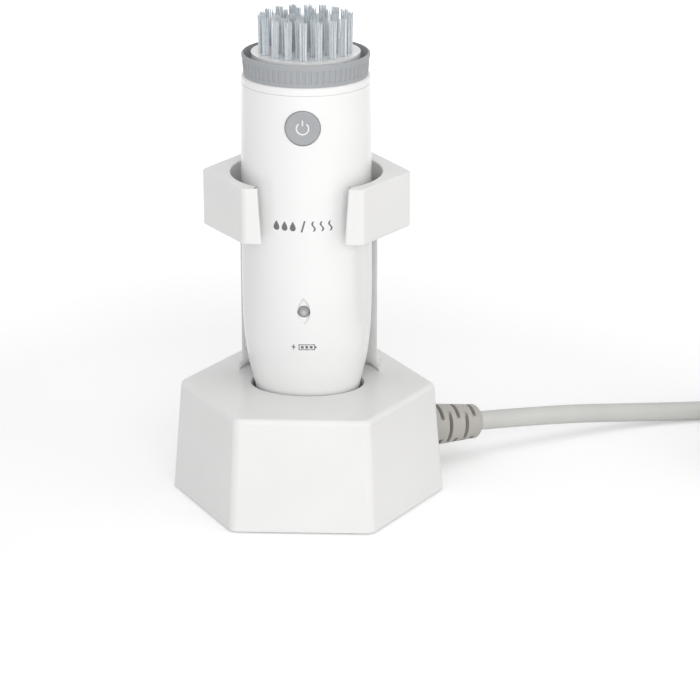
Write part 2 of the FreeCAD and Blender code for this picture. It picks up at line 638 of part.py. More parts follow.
def relief_clip():
    """Horseshoe pushed over the neck inside the wall, in front of the inner flange."""
    low = "-neckLong + flangeThick + reliefGap"
    plate = rod("clip_disc", "clipRadius", low, f"{low} + clipThick")
    hole = rod("clip_hole", "reliefNeck + reliefGap", f"{low} - 1", f"{low} + clipThick + 1")
    mouth = block("clip_mouth", ("-clipRadius - 1", "0"),
                  ("-reliefNeck - reliefGap", "reliefNeck + reliefGap"),
                  (f"{low} - 1", f"{low} + clipThick + 1"))
    keep("relief_clip", along_relief(cut("relief_clip", plate, hole, mouth)))


# Part of the shorter neighbouring run that each bend of a wire takes up.
BEND_SHARE = 0.45


def filleted_path(points):
    """Straight runs joined by tangent arcs, each as large as its two runs allow."""
    edges = []
    radii = []
    start = points[0]
    for before, corner, after in zip(points, points[1:], points[2:]):
        into = corner - before
        away = after - corner
        turn = into.getAngle(away)
        shorter = min(into.Length, away.Length)
        setback = BEND_SHARE * shorter
        radii.append(setback / math.tan(turn / 2))
        into.normalize()
        away.normalize()
        first = corner - into * setback
        last = corner + away * setback
        bisector = away - into
        bisector.normalize()
        centre = corner + bisector * (radii[-1] / math.cos(turn / 2))
        middle = centre - bisector * radii[-1]
        edges.append(Part.LineSegment(start, first).toShape())
        edges.append(Part.Arc(first, middle, last).toShape())
        start = last
    edges.append(Part.LineSegment(start, points[-1]).toShape())
    return Part.Wire(edges), radii


def swept(points, radius):
    path, radii = filleted_path(points)
    first = points[1] - points[0]
    profile = Part.Wire(Part.Circle(points[0], first, radius).toShape())
    tube = path.makePipeShell([profile], True, False)
    expected = math.pi * radius ** 2 * path.Length
    assert abs(tube.Volume / expected - 1) < 0.01, "tube volume is off"
    return tube, path.Length, radii


def mains_lead():
    exit_point = relief_place().multVec(Vector(0, 0, value("reliefLong")))
    straight = relief_place().multVec(Vector(0, 0, value("reliefLong + leadStraight")))
    points = [exit_point, straight] + [Vector(*point) for point in LEAD_ROUTE]
    tube, length, radii = swept(points, value("leadRadius"))
    coil = turned("cord_coil", tube_profile("ringInner", "ringOuter", "0", "ringHigh"))
    rounded(coil, "coil_round", "ringRound", lambda edge: True)
    keep("cord_coil", coil, ("ringX", "ringY", "0"))
    lead = doc.addObject("Part::Feature", "mains_cord")
    lead.Shape = tube
    keep("mains_cord", lead)
    print("lead: exit", [round(c, 3) for c in exit_point], "tube length", round(length, 1),
          "radii", [round(r) for r in radii])


def supply_leads():
    inside = relief_place().multVec(Vector(0, 0, -value("neckLong + wireClear")))
    wires = []
    for side in (-1, 1):
        apart = Vector(0, 0, side * value("wireApart"))
        points = [inside + apart] + [Vector(*point) + apart for point in WIRE_ROUTE]
        wires.append(swept(points, value("wireRadius"))[0])
    item = doc.addObject("Part::Feature", "supply_leads")
    item.Shape = Part.makeCompound(wires)
    keep("supply_leads", item)


def plug():
    """Two-blade plug lying flat on the coil, its cord end towards the back."""
    centre = "ringHigh + plugThick / 2"
    front = "plugBack - plugNeck - plugLong"
    body = doc.addObject("PartDesign::Body", "plug_grip")
    sketch = sketch_on(body, "plug_outline", lift="ringHigh")
    half = "plugWide / 2"
    outline(sketch, [(f"plugX - {half}", front), (f"plugX + {half}", front),
                     (f"plugX + {half}", f"{front} + plugLong - plugTaper"),
                     ("plugX + plugNose + noseShoulder", f"{front} + plugLong"),
                     ("plugX - plugNose - noseShoulder", f"{front} + plugLong"),
                     (f"plugX - {half}", f"{front} + plugLong - plugTaper")])
    pad = body.newObject("PartDesign::Pad", "plug_pad")
    pad.Profile = sketch
    bind(pad, "Length", "plugThick")
    rounded(body, "plug_edges", "plugRound", lambda edge: edge.BoundBox.YLength > 2)
    neck = doc.addObject("Part::Cone", "plug_neck")
    neck.Placement = FreeCAD.Placement(Vector(), FreeCAD.Rotation(Vector(1, 0, 0), -90))
    bind(neck, "Radius1", "plugNose")
    bind(neck, "Radius2", "leadRadius + noseWall")
    bind(neck, "Height", "plugNeck + 1")
    for axis, expression in zip("xyz", ("plugX", f"{front} + plugLong - 1", centre)):
        bind(neck, "Placement.Base." + axis, expression)
    keep("plug_body", join("plug_body", body, neck))
    x = "plugX + bladePitch / 2"
    blade = block("plug_blade", (f"{x} - bladeThick / 2", f"{x} + bladeThick / 2"),
                  (f"{front} - bladeLong", front), (f"{centre} - bladeWide / 2", f"{centre} + bladeWide / 2"))
    keep("plug_blades", copies("plug_blades", blade, [shift(), shift(x=-value("bladePitch"))]))


# ---------------------------------------------------------------- handle

STATIONS = ("cap", "throat", "rim", "flare", "hip", "swell", "grip", "neck", "crown")


def sleeve(name, inset):
    """Handle outline drawn in by an even inset, lofted through its sections."""
    sections = []
    for station in STATIONS:
        sections.append(ellipse_at(f"{name}_{station}", f"{station}Wide - ({inset})",
                                   f"{station}Deep - ({inset})", f"{station}Up"))
    item = doc.addObject("Part::Loft", name)
    item.Sections = sections
    item.Solid = True
    item.Ruled = False
    return item


def slab(name, low, high, ys=("-40", "40")):
    return block(name, ("-40", "40"), ys, (low, high))


def band(name, inset, low, high, ys=("-40", "40")):
    """The part of an inset handle outline between two heights."""
    return meet(name, sleeve(name + "_sleeve", inset), slab(name + "_slab", low, high, ys))


def handle_shells():
    for name, ys, start, length in (("front", ("-40", "seamBack"), "seamBack - frontBoss", "frontBoss"),
                                    ("rear", ("seamBack", "40"), "seamBack", "rearBoss")):
        outside = band(name + "_outside", "0", "capSplit", "crownUp", ys)
        inside = sleeve(name + "_inside", "shellWall")
        hollow = cut(name + "_hollow", outside, inside)
        bosses = []
        holes = []
        for side, hand in ((1, "right"), (-1, "left")):
            x = f"{side} * shellScrewX"
            boss = pin(f"{name}_boss_{hand}", "shellBoss", x, start, "shellScrewUp", length)
            bosses.append(meet(f"{name}_post_{hand}", boss, sleeve(f"{name}_limit_{hand}", "shellWall / 2")))
            if name == "front":
                holes.append(pin(f"front_pilot_{hand}", "shellScrewRadius + screwGap", x,
                                 "seamBack - shellScrewGrip", "shellScrewUp", "shellScrewGrip + 1"))
            else:
                holes.append(pin(f"rear_bore_{hand}", "shellScrewRadius + screwGap", x, "seamBack - 1",
                                 "shellScrewUp", "20"))
                holes.append(pin(f"rear_sink_{hand}", "shellHead + screwGap", x,
                                 "seamBack + shellScrewLong - shellScrewGrip", "shellScrewUp", "20"))
        if name == "front":
            holes += [
                eye_scoop(),
                pin("lens_hole", "lensRadius + lensGap", "0", "-swellDeep - 1", "lampUp", "shellWall + 3"),
                pin("button_hole", "buttonRadius + buttonGap", "0", "-crownDeep - 2", "buttonUp",
                    "shellWall + 5")]
        keep(name + "_shell", cut(name + "_shell", join(name + "_walls", hollow, *bosses), *holes))


def eye_scoop():
    """Pointed oval recess: two arcs through the tips, cut in from the front."""
    half = value("eyeHalf")
    tall = value("eyeTall")
    up = value("lampUp")
    front = -value("swellDeep") - 2
    arcs = []
    for side in (1, -1):
        tips = [Vector(0, front, up - side * tall), Vector(0, front, up + side * tall)]
        arcs.append(Part.Arc(tips[0], Vector(side * half, front, up), tips[1]).toShape())
    tool = doc.addObject("Part::Feature", "eye_scoop")
    tool.Shape = Part.Face(Part.Wire(arcs)).extrude(Vector(0, 2 + value("eyeSink"), 0))
    return tool


def shell_screws():
    model = screw("shell_screw", "shellScrewRadius", "shellScrewLong - shellHeadThick", "shellHead",
                  "shellHeadThick")
    lying = FreeCAD.Rotation(Vector(1, 0, 0), 90)
    back = value("seamBack + shellScrewLong - shellScrewGrip + shellHeadThick")
    moves = [FreeCAD.Placement(Vector(side * value("shellScrewX"), back, value("shellScrewUp")), lying)
             for side in (1, -1)]
    keep("shell_screws", copies("shell_screws", model, moves))


def end_cap():
    """Cup that closes the foot of the handle, with a lip inside the shells."""
    foot = band("cap_foot", "0", "capUp", "capSplit")
    lip = band("cap_lip", "shellWall + fitGap", "capSplit - 1", "capSplit + lipHigh")
    hollow = meet("cap_hollow", sleeve("cap_inside", "shellWall + fitGap + lipWall"),
                  slab("cap_room", "capUp + capFloor", "capSplit + lipHigh + 1"))
    bead = "capSplit + lipHigh / 2"
    bead_ups = (f"{bead} - sealBead", f"{bead} + sealBead")
    groove = cut("cap_groove", band("groove_out", "shellWall - 1", *bead_ups),
                 sleeve("groove_in", "shellWall + fitGap + lipWall / 2"))
    keep("end_cap", cut("end_cap", join("cap_walls", foot, lip), hollow, groove))
    keep("end_seal", cut("end_seal", band("seal_out", "shellWall + fitGap / 4", *bead_ups),
                         sleeve("seal_in", "shellWall + fitGap + lipWall / 2")))


def pickup():
    floor = "capUp + capFloor"
    keep("pickup_core", turned("pickup_core", [
        ("0", floor), ("pickupRadius", floor), ("pickupRadius", f"{floor} + pickupThick"),
        ("pickupCore", f"{floor} + pickupThick"), ("pickupCore", f"{floor} + pickupThick + pickupHigh"),
        ("0", f"{floor} + pickupThick + pickupHigh")]))
    keep("pickup_coil", ring("pickup_coil", "pickupCore + coilGap", "pickupCoil", f"{floor} + pickupThick",
                             f"{floor} + pickupThick + pickupHigh"))


def battery():
    top = "cellLow + cellLong"
    keep("battery_cell", turned("battery_cell", [
        ("0", "cellLow"), ("cellRadius", "cellLow"), ("cellRadius", f"{top} - cellPipHigh"),
        ("cellPip", f"{top} - cellPipHigh"), ("cellPip", top), ("0", top)]))
    across = ("-tabHalf", "tabHalf")
    low = block("contact_low", across, ("-tabDeep", "tabDeep"), ("cellLow - tabThick", "cellLow"))
    high = block("contact_high", across, ("-tabDeep", "tabDeep"), (top, f"{top} + tabThick"))
    tail = block("contact_tail", ("-tailHalf", "tailHalf"), ("-mainFront + mainThick", "1 - tabDeep"),
                 (top, f"{top} + tabThick"))
    strips = doc.addObject("Part::Compound", "battery_contacts")
    strips.Links = [join("contact_strip", high, tail), low]
    keep("battery_contacts", strips)


def chassis():
    """Skeleton that holds the cell, the motor and the board."""
    cell = "cellRadius + cradleGap"
    top = "cellLow + cellLong + tabThick"
    low = "cellLow - tabThick"
    cradle = meet("cradle", ring("cradle_ring", cell, f"{cell} + cradleWall", low, "motorLow"),
                  slab("cradle_half", low, "motorLow", ("0.5", "40")))
    foot = rod("cell_foot", f"{cell} + cradleWall", f"{low} - stopThick", low)
    stop = rod("cell_stop", f"{cell} + cradleWall", top, f"{top} + stopThick")
    band_ups = ("mainLow + hoopLift", "mainLow + hoopLift + hoopHigh")
    hoop = ring("board_hoop", cell, f"{cell} + cradleWall", *band_ups)
    pad_low = block("board_pad_low", ("-armHalf", "armHalf"),
                    ("-mainFront + mainThick", f"-({cell}) - hoopClear"), band_ups)
    seat = rod("motor_seat", "motorRadius + fitGap + cupWall", "motorLow - stopThick", "motorLow")
    seat_bore = rod("seat_bore", "seatHole", "motorLow - stopThick", "motorLow")
    cup = ring("motor_cup", "motorRadius + fitGap", "motorRadius + fitGap + cupWall", "motorLow",
               "motorLow + cupHigh")
    back = "gripDeep - shellWall - fitGap"
    arms = []
    for name, up, start in (("low", "cellLow + armLift", cell),
                            ("high", "motorLow + armHigh", "motorRadius + fitGap")):
        limit = sleeve(f"arm_limit_{name}", "shellWall + fitGap")
        arm = block(f"arm_{name}", ("-armHalf", "armHalf"), (f"{start} + 0.5", back),
                    (up, f"{up} + armHigh"))
        arms.append(meet(f"arm_cut_{name}", arm, limit))
    body = join("chassis_body", cradle, foot, stop, hoop, pad_low, cut("seat_ring", seat, seat_bore),
                cup, *arms)
    lug = "motorRadius + fitGap + cupWall"
    keep("chassis", cut("chassis", body, block("board_flat", ("-mainHalf", "mainHalf"), (
        f"-({lug}) - 1", "-mainFront + mainThick"), ("motorLow - 3", "motorLow + cupHigh + 1"))))


def main_board():
    keep("main_board", block("main_board", ("-mainHalf", "mainHalf"),
                             ("-mainFront", "-mainFront + mainThick"), ("mainLow", "mainHigh")))
    keep("charge_led", pin("charge_led", "lampRadius", "0", "-swellDeep + lampSink", "lampUp",
                           "swellDeep - lampSink - mainFront"))
    keep("charge_lens", pin("charge_lens", "lensRadius", "0", "-swellDeep + lensSink", "lampUp", "lensLong"))
    keep("micro_switch", block("micro_switch", ("-switchHalf", "switchHalf"),
                               ("-mainFront - switchThick", "-mainFront"),
                               ("buttonUp - switchHalf", "buttonUp + switchHalf")))


def power_button():
    """Round crowned key with a flange behind the shell, turned along its own press axis."""
    inner = "crownDeep - shellWall"
    flange_radius = "buttonRadius + buttonLip"
    front = "crownDeep + buttonProud"
    flange = f"sqrt(({inner}) * ({inner}) - ({flange_radius}) * ({flange_radius})) - buttonGap"
    body = turned("power_button", [
        ("0", f"{flange} - buttonFlange"), (flange_radius, f"{flange} - buttonFlange"),
        (flange_radius, flange), ("buttonRadius", flange), ("buttonRadius", f"{front} - buttonCrown"),
        ("buttonRadius - buttonCrown", f"{front} - buttonCrown / 4"), ("0", front)])
    body.Placement = FreeCAD.Placement(Vector(), FreeCAD.Rotation(Vector(1, 0, 0), 90))
    bind(body, "Placement.Base.z", "buttonUp")
    keep("power_button", body)


# ---------------------------------------------------------------- drive

MOTOR_TOP = "motorLow + motorHigh"
RING_TEETH = "sunTeeth + 2 * planetTeeth"
CENTRE_GAP = "gearModule * (sunTeeth + planetTeeth) / 2"
PLANET_LOW = f"{MOTOR_TOP} + ringFloor + stackGap"
PLANET_TOP = f"{PLANET_LOW} + gearTall"
CARRIER_LOW = f"{PLANET_TOP} + stackGap"
RING_TOP = f"{MOTOR_TOP} + ringTall"
BUSH_LOW = f"{RING_TOP} + stackGap"
SEAL_LOW = f"{BUSH_LOW} + bushHigh"
NOSE_TOP = "crownUp + noseCap"
HUB_LOW = f"{NOSE_TOP} + hubLift"


def gear_face(teeth, add, ded, thick):
    """Flat gear outline with involute flanks, tooth 0 centred on +X."""
    pressure = math.radians(20)
    module = value("gearModule")
    pitch = module * teeth / 2
    base = pitch * math.cos(pressure)
    tip = pitch + add * module
    root = pitch - ded * module

    def involute(angle):
        return math.tan(angle) - angle

    def half_angle(radius):
        turn = math.acos(min(1.0, base / max(radius, base)))
        return thick / (2 * pitch) + involute(pressure) - involute(turn)

    points = []
    start = max(root, base)
    flank = [start + (tip - start) * k / 4 for k in range(5)]
    for tooth in range(teeth):
        middle = 2 * math.pi * tooth / teeth
        side = [(root, -half_angle(start))] * (root < base) + [(r, -half_angle(r)) for r in flank]
        for radius, angle in side + [(r, -a) for r, a in reversed(side)]:
            points.append(Vector(radius * math.cos(middle + angle), radius * math.sin(middle + angle), 0))
    return Part.Face(Part.makePolygon(points + points[:1]))


def tooth_width(slack):
    return math.pi * value("gearModule") / 2 - slack


def gears():
    slack = value("gearSlack")
    tall = value("gearTall")
    low = value(PLANET_LOW)
    tip = value("gearTip")
    root = value("gearRoot")
    teeth = int(value("planetTeeth"))
    bore = Part.makeCylinder(value("pinRadius + pinGap"), tall)
    wheel = gear_face(teeth, tip, root, tooth_width(slack)).extrude(Vector(0, 0, tall)).cut(bore)
    half_tooth = 180 / teeth
    for index, name in enumerate(("planet_gear_1", "planet_gear_2", "planet_gear_3")):
        angle = 120 * index
        x, y = round_spots(value(CENTRE_GAP), [angle])[0]
        item = doc.addObject("Part::Feature", name)
        item.Shape = wheel.copy()
        turn = FreeCAD.Rotation(Vector(0, 0, 1), angle + half_tooth)
        item.Placement = FreeCAD.Placement(Vector(x, y, low), turn)
        keep(name, item)
    sun = gear_face(int(value("sunTeeth")), tip, root, tooth_width(slack)).extrude(Vector(0, 0, tall))
    item = doc.addObject("Part::Feature", "sun_gear")
    item.Shape = sun.cut(Part.makeCylinder(value("shaftRadius"), tall))
    item.Placement = shift(z=low)
    keep("sun_gear", item)


def ring_gear():
    count = int(value(RING_TEETH))
    low = value(MOTOR_TOP)
    floor = value("ringFloor")
    cutter = gear_face(count, value("gearRoot"), value("gearTip"), tooth_width(-value("gearSlack")))
    room = cutter.extrude(Vector(0, 0, value("ringTall") - floor))
    room.rotate(Vector(), Vector(0, 0, 1), 180 / count)
    room.translate(Vector(0, 0, low + floor))
    teeth = doc.addObject("Part::Feature", "ring_teeth")
    teeth.Shape = room
    outside = rod("ring_outside", "ringRadius", MOTOR_TOP, RING_TOP)
    bore = rod("ring_bore", "shaftRadius + 1", f"{MOTOR_TOP} - 1", f"{MOTOR_TOP} + 3")
    room_above = rod("carrier_room", "carrierRadius + carrierRoom", f"{CARRIER_LOW} - stackGap / 2",
                     f"{RING_TOP} + 1")
    keep("ring_gear", cut("ring_gear", outside, teeth, bore, room_above))


def motor():
    can = turned("motor_can", [
        ("shaftRadius + shaftGap", "motorLow"), ("motorRadius", "motorLow"), ("motorRadius", MOTOR_TOP),
        ("shaftRadius + shaftGap", MOTOR_TOP), ("shaftRadius + shaftGap", f"{MOTOR_TOP} - canWall"),
        ("motorRadius - canWall", f"{MOTOR_TOP} - canWall"), ("motorRadius - canWall", "motorLow + canWall"),
        ("shaftRadius + shaftGap", "motorLow + canWall")])
    keep("motor_can", can)
    low = "motorLow + magnetLift"
    high = f"{MOTOR_TOP} - magnetDrop"
    outer = "motorRadius - canWall - fitGap / 2"
    shell = ring("magnet_ring", f"{outer} - magnetThick", outer, low, high)
    gap = block("magnet_gap", ("-magnetGap / 2", "magnetGap / 2"), ("-motorRadius", "motorRadius"),
                (f"{low} - 1", f"{high} + 1"))
    keep("motor_magnets", cut("motor_magnets", shell, gap))
    keep("motor_armature", turned("motor_armature", [
        ("0", "motorLow + shaftLift"), ("shaftRadius", "motorLow + shaftLift"), ("shaftRadius", low),
        ("armatureRadius", low), ("armatureRadius", high), ("shaftRadius", high), ("shaftRadius", PLANET_TOP),
        ("0", PLANET_TOP)]))


def planet_carrier():
    """Plate with three planet pins below and the output shaft above, hexagonal at its end."""
    plate = rod("carrier_plate", "carrierRadius", CARRIER_LOW, f"{CARRIER_LOW} + carrierThick")
    shaft = rod("output_round", "outputRadius", CARRIER_LOW, NOSE_TOP)
    drive = padded("output_hexagon", hexagon("hexHalf / cos(30 deg)"), f"{NOSE_TOP} - 1",
                   "hubLift + socketDeep - stackGap + 1")
    pins = []
    for index in range(3):
        x = f"{CENTRE_GAP} * cos({120 * index} deg)"
        y = f"{CENTRE_GAP} * sin({120 * index} deg)"
        pins.append(rod(f"planet_pin_{index}", "pinRadius", PLANET_LOW, f"{CARRIER_LOW} + 0.5", x, y))
    keep("planet_carrier", join("planet_carrier", plate, shaft, drive, *pins))


def nose():
    bore = "outputRadius + shaftGap"
    keep("shaft_bush", ring("shaft_bush", bore, "bushRadius", BUSH_LOW, SEAL_LOW))
    keep("shaft_seal", ring("shaft_seal", bore, "bushRadius", SEAL_LOW, f"{SEAL_LOW} + sealHigh"))
    inner = "crownDeep - shellWall - fitGap"
    keep("nose_ring", turned("nose_ring", [
        ("bushRadius", RING_TOP), ("noseHub", RING_TOP), ("noseHub", "crownUp - noseWeb"),
        (inner, "crownUp - noseWeb"), (inner, "crownUp"), ("crownDeep", "crownUp"),
        ("crownDeep", f"{NOSE_TOP} - noseRound"),
        ("crownDeep - noseRound", NOSE_TOP), ("noseHole", NOSE_TOP), ("noseHole", f"{SEAL_LOW} + sealHigh"),
        ("bushRadius", f"{SEAL_LOW} + sealHigh")]))


def brush_head():
    keep("splash_skirt", turned("splash_skirt", [
        ("crownDeep - skirtSet - skirtWall", NOSE_TOP), ("crownDeep - skirtSet", NOSE_TOP),
        ("crownDeep - skirtSet + skirtFlare", f"{NOSE_TOP} + skirtHigh"),
        ("crownDeep - skirtSet + skirtFlare - skirtWall / 2", f"{NOSE_TOP} + skirtHigh")]))
    body = doc.addObject("PartDesign::Body", "brush_block")
    sketch = sketch_on(body, "brush_outline", lift=HUB_LOW)
    circle(sketch, "0", "0", "hubRadius")
    pad = body.newObject("PartDesign::Pad", "brush_pad")
    pad.Profile = sketch
    bind(pad, "Length", "hubThick")
    pocket(body, "brush_socket", HUB_LOW, "socketDeep",
           lambda spot: outline(spot, hexagon("(hexHalf + hexGap) / cos(30 deg)")))
    low = value(f"{HUB_LOW} + hubThick - tuftSink")
    tuft = rod("bristle_tuft", "tuftRadius", "0", "tuftSink + tuftLong")
    hole = rod("tuft_hole", "tuftRadius", "0", "tuftSink + 1")
    step = value("tuftStep")
    spots = [(0.0, 0.0)]
    for row in (1, 2, 3):
        twist = value("tuftTwist") * row
        spots += round_spots(row * step, [60 * k / row + twist for k in range(6 * row)])
    moves = [shift(x, y, low) for x, y in spots]
    keep("bristle_tufts", copies("bristle_tufts", tuft, moves))
    keep("brush_hub", cut("brush_hub", body, copies("tuft_holes", hole, moves)))


for build in (base_shell, base_plate, base_screws, rubber_feet, charging_well, charging_coil, charger_board,
              rear_post, post_screws, support_collar, collar_screws, strain_relief, relief_clip, mains_lead,
              supply_leads, plug, handle_shells, shell_screws, end_cap, pickup, battery, chassis, main_board,
              power_button, gears, ring_gear, motor, planet_carrier, nose, brush_head):
    build()

doc.recompute()
faulty = [item.Name for item in doc.Objects if {"Invalid", "Error"} & set(item.State)]
faulty += [name for name, item in nodes.items() if item.Shape.isNull() or not item.Shape.isValid()]
assert not faulty, faulty

os.makedirs("parts", exist_ok=True)
for name, item in nodes.items():
    item.Shape.exportStep(f"parts/{name}.step")
    print(f"{name:18s} solids {len(item.Shape.Solids):3d} volume {item.Shape.Volume:10.1f}")
print(len(nodes), "nodes")
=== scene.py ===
import bpy
import bmesh
import json
import math
import random
from mathutils import Matrix, Vector


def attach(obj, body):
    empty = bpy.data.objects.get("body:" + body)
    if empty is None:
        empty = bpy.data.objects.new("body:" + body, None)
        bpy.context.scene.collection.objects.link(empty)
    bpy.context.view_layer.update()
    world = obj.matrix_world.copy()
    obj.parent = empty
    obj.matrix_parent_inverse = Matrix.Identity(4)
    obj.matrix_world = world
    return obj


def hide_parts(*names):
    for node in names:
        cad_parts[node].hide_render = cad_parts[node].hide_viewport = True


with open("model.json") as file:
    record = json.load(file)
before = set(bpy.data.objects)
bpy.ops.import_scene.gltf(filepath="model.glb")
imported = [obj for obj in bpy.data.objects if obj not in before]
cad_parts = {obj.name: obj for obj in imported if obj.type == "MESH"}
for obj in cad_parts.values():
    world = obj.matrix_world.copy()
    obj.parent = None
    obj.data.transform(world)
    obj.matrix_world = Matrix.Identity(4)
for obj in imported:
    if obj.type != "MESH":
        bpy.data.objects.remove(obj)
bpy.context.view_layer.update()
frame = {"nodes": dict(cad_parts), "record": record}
nodes = frame["nodes"]
bpy.ops.object.select_all(action="DESELECT")  # loading leaves the CAD nodes selected
print("frame loaded:", len(nodes), "nodes")

camera = {
    "azimuth": 2.15,  # degrees round to the right of the front
    "elevation": 19.74,
    "distance": 0.8576,
    "target": (0.01386, 0.0, 0.0484),
    "lens": 135.6,
}


def addCamera():
    turn = math.radians(camera["azimuth"])
    lift = math.radians(camera["elevation"])
    back = Vector((math.sin(turn) * math.cos(lift), -math.cos(turn) * math.cos(lift), math.sin(lift)))
    bpy.ops.object.camera_add(location=Vector(camera["target"]) + back * camera["distance"])
    eye = bpy.context.object
    eye.rotation_euler = back.to_track_quat("Z", "Y").to_euler()
    eye.data.lens = camera["lens"]
    eye.data.sensor_width = 36
    eye.data.clip_start = 0.01
    bpy.context.scene.camera = eye


addCamera()
print("camera set")


def only(piece):
    bpy.ops.object.select_all(action="DESELECT")
    piece.select_set(True)
    bpy.context.view_layer.objects.active = piece


def pick(piece, kind, wanted):  # edit mode with only the wanted vertices, edges or faces selected
    only(piece)
    bpy.ops.object.mode_set(mode="EDIT")
    bpy.ops.mesh.select_mode(type=kind)
    bpy.ops.mesh.select_all(action="DESELECT")
    shape = bmesh.from_edit_mesh(piece.data)
    for item in {"VERT": shape.verts, "EDGE": shape.edges, "FACE": shape.faces}[kind]:
        if wanted(item):
            item.select_set(True)
    shape.select_flush_mode()
    bmesh.update_edit_mesh(piece.data)


def leave():
    bpy.ops.object.mode_set(mode="OBJECT")


def everything(part):
    return True


def edit(piece, kind, wanted, operator, **settings):  # one operator on the wanted parts alone
    pick(piece, kind, wanted)
    operator(**settings)
    leave()


def bakePlace(piece):
    only(piece)
    bpy.ops.object.transform_apply(location=True, rotation=True, scale=True)


def turnedAt(place, degrees, axis):
    return Matrix.Translation(place) @ Matrix.Rotation(math.radians(degrees), 4, axis)


def moved(piece, place):
    piece.matrix_world = place
    bakePlace(piece)
    return piece


def settled(name):  # the newest object, named, with its place baked into its mesh
    piece = bpy.context.object
    piece.name = name
    bakePlace(piece)
    return piece


def fromPoints(name, points, faces):
    mesh = bpy.data.meshes.new(name)
    mesh.from_pydata(points, [], faces)
    piece = bpy.data.objects.new(name, mesh)
    bpy.context.collection.objects.link(piece)
    return piece


mergeWithin = 0.000002  # vertices nearer than this become one


def cleaned(piece):  # doubles merged first, then every face turned outwards
    pick(piece, "VERT", everything)
    bpy.ops.mesh.remove_doubles(threshold=mergeWithin)
    bpy.ops.mesh.normals_make_consistent(inside=False)
    leave()
    return piece


def modified(piece, kind, **settings):  # a modifier added, set and applied
    only(piece)
    bpy.ops.object.modifier_add(type=kind)
    step = piece.modifiers[-1]
    for setting, value in settings.items():
        setattr(step, setting, value)
    bpy.ops.object.modifier_apply(modifier=step.name)


def smoothed(piece, angle=35):  # soft shading that keeps flat faces flat
    only(piece)
    bpy.ops.object.shade_smooth_by_angle(angle=math.radians(angle))
    modified(piece, "WEIGHTED_NORMAL", keep_sharp=True)


def edgesRounded(piece, wanted, offset, segments=4):
    edit(piece, "EDGE", wanted, bpy.ops.mesh.bevel, offset=offset, segments=segments, affect="EDGES",
         clamp_overlap=False)


def bevelled(piece, width, segments=3, angle=35):  # every edge sharper than the angle
    modified(piece, "BEVEL", width=width, segments=segments, limit_method="ANGLE",
             angle_limit=math.radians(angle))


def walled(piece, thickness):  # wall thickness grows inwards
    modified(piece, "SOLIDIFY", thickness=thickness, offset=-1, use_even_offset=True)


def combine(piece, tools, operation="DIFFERENCE"):
    for tool in tools:
        modified(piece, "BOOLEAN", object=tool, operation=operation, solver="EXACT")
        bpy.data.objects.remove(tool)


def joined(name, parts):
    bpy.ops.object.select_all(action="DESELECT")
    for part in parts:
        part.select_set(True)
    bpy.context.view_layer.objects.active = parts[0]
    bpy.ops.object.join()
    return settled(name)


def duplicated(piece, name):  # a copy with its own mesh
    twin = piece.copy()
    twin.data = piece.data.copy()
    twin.name = name
    bpy.context.collection.objects.link(twin)
    return twin


def grown(name, rings, segments=96, caps=True):
    # a ring is (half width, half depth, height); each is extruded from the last and resized
    wide, deep, up = rings[0]
    bpy.ops.mesh.primitive_circle_add(vertices=segments, radius=1, fill_type="NGON" if caps else "NOTHING",
                                      location=(0, 0, up))
    piece = settled(name)
    pick(piece, "VERT", everything)
    bpy.ops.transform.resize(value=(wide, deep, 1), center_override=(0, 0, up))
    for (oldWide, oldDeep, oldUp), (wide, deep, up) in zip(rings, rings[1:]):
        bpy.ops.mesh.extrude_region_move(TRANSFORM_OT_translate={"value": (0, 0, up - oldUp)})
        bpy.ops.transform.resize(value=(wide / oldWide, deep / oldDeep, 1), center_override=(0, 0, up))
    leave()
    return cleaned(piece)


def turned(name, profile, segments=96, caps=True):  # profile of (radius, height)
    return grown(name, [(radius, radius, up) for radius, up in profile], segments, caps)


def blockAt(name, low, high):
    bpy.ops.mesh.primitive_cube_add(size=1, location=[(a + b) / 2 for a, b in zip(low, high)])
    bpy.context.object.scale = [b - a for a, b in zip(low, high)]
    return settled(name)


def rodAt(name, radius, start, direction, length, segments=48):
    direction = Vector(direction).normalized()
    bpy.ops.mesh.primitive_cylinder_add(vertices=segments, radius=radius, depth=length,
                                        location=Vector(start) + direction * length / 2,
                                        rotation=direction.to_track_quat("Z", "Y").to_euler())
    return settled(name)


def roundArc(radius, first, last, steps):  # (across, up) offsets on an arc, angles in degrees
    angles = [math.radians(first + (last - first) * k / steps) for k in range(steps + 1)]
    return [(radius * math.cos(a), radius * math.sin(a)) for a in angles]


def refined(nodeName, name):  # a merged, smoothly shaded copy of a CAD node
    piece = duplicated(nodes[nodeName], name)
    piece.parent = None
    for key in list(piece.keys()):
        del piece[key]
    only(piece)
    if piece.data.has_custom_normals:
        bpy.ops.mesh.customdata_custom_splitnormals_clear()
    edit(piece, "VERT", everything, bpy.ops.mesh.remove_doubles, threshold=mergeWithin)
    smoothed(piece)
    return piece


bodyOf = {member: body for body, members in frame["record"]["behaviour"]["bodies"].items()
          for member in members}


def finish(piece, material, *stands, body=None):  # material, and the body of the CAD nodes it stands for, which it hides
    piece.data.materials.clear()
    piece.data.materials.append(material)
    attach(piece, body or bodyOf[stands[0]])
    if stands:
        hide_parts(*stands)
    return piece


def feed(tree, node, **inputs):  # each input gets a value, or a link from a socket
    for name, given in inputs.items():
        socket = node.inputs[name.replace("_", " ")]
        if isinstance(given, bpy.types.NodeSocket):
            tree.links.new(given, socket)
        else:
            socket.default_value = given
    return node


def added(tree, kind, **inputs):
    return feed(tree, tree.nodes.new("ShaderNode" + kind), **inputs)


def newMaterial(name, **sockets):
    material = bpy.data.materials.new(name)
    material.use_nodes = True
    tree = material.node_tree
    return material, tree, feed(tree, tree.nodes["Principled BSDF"], **sockets)


def placeOn(tree):
    return added(tree, "TexCoord").outputs["Object"]


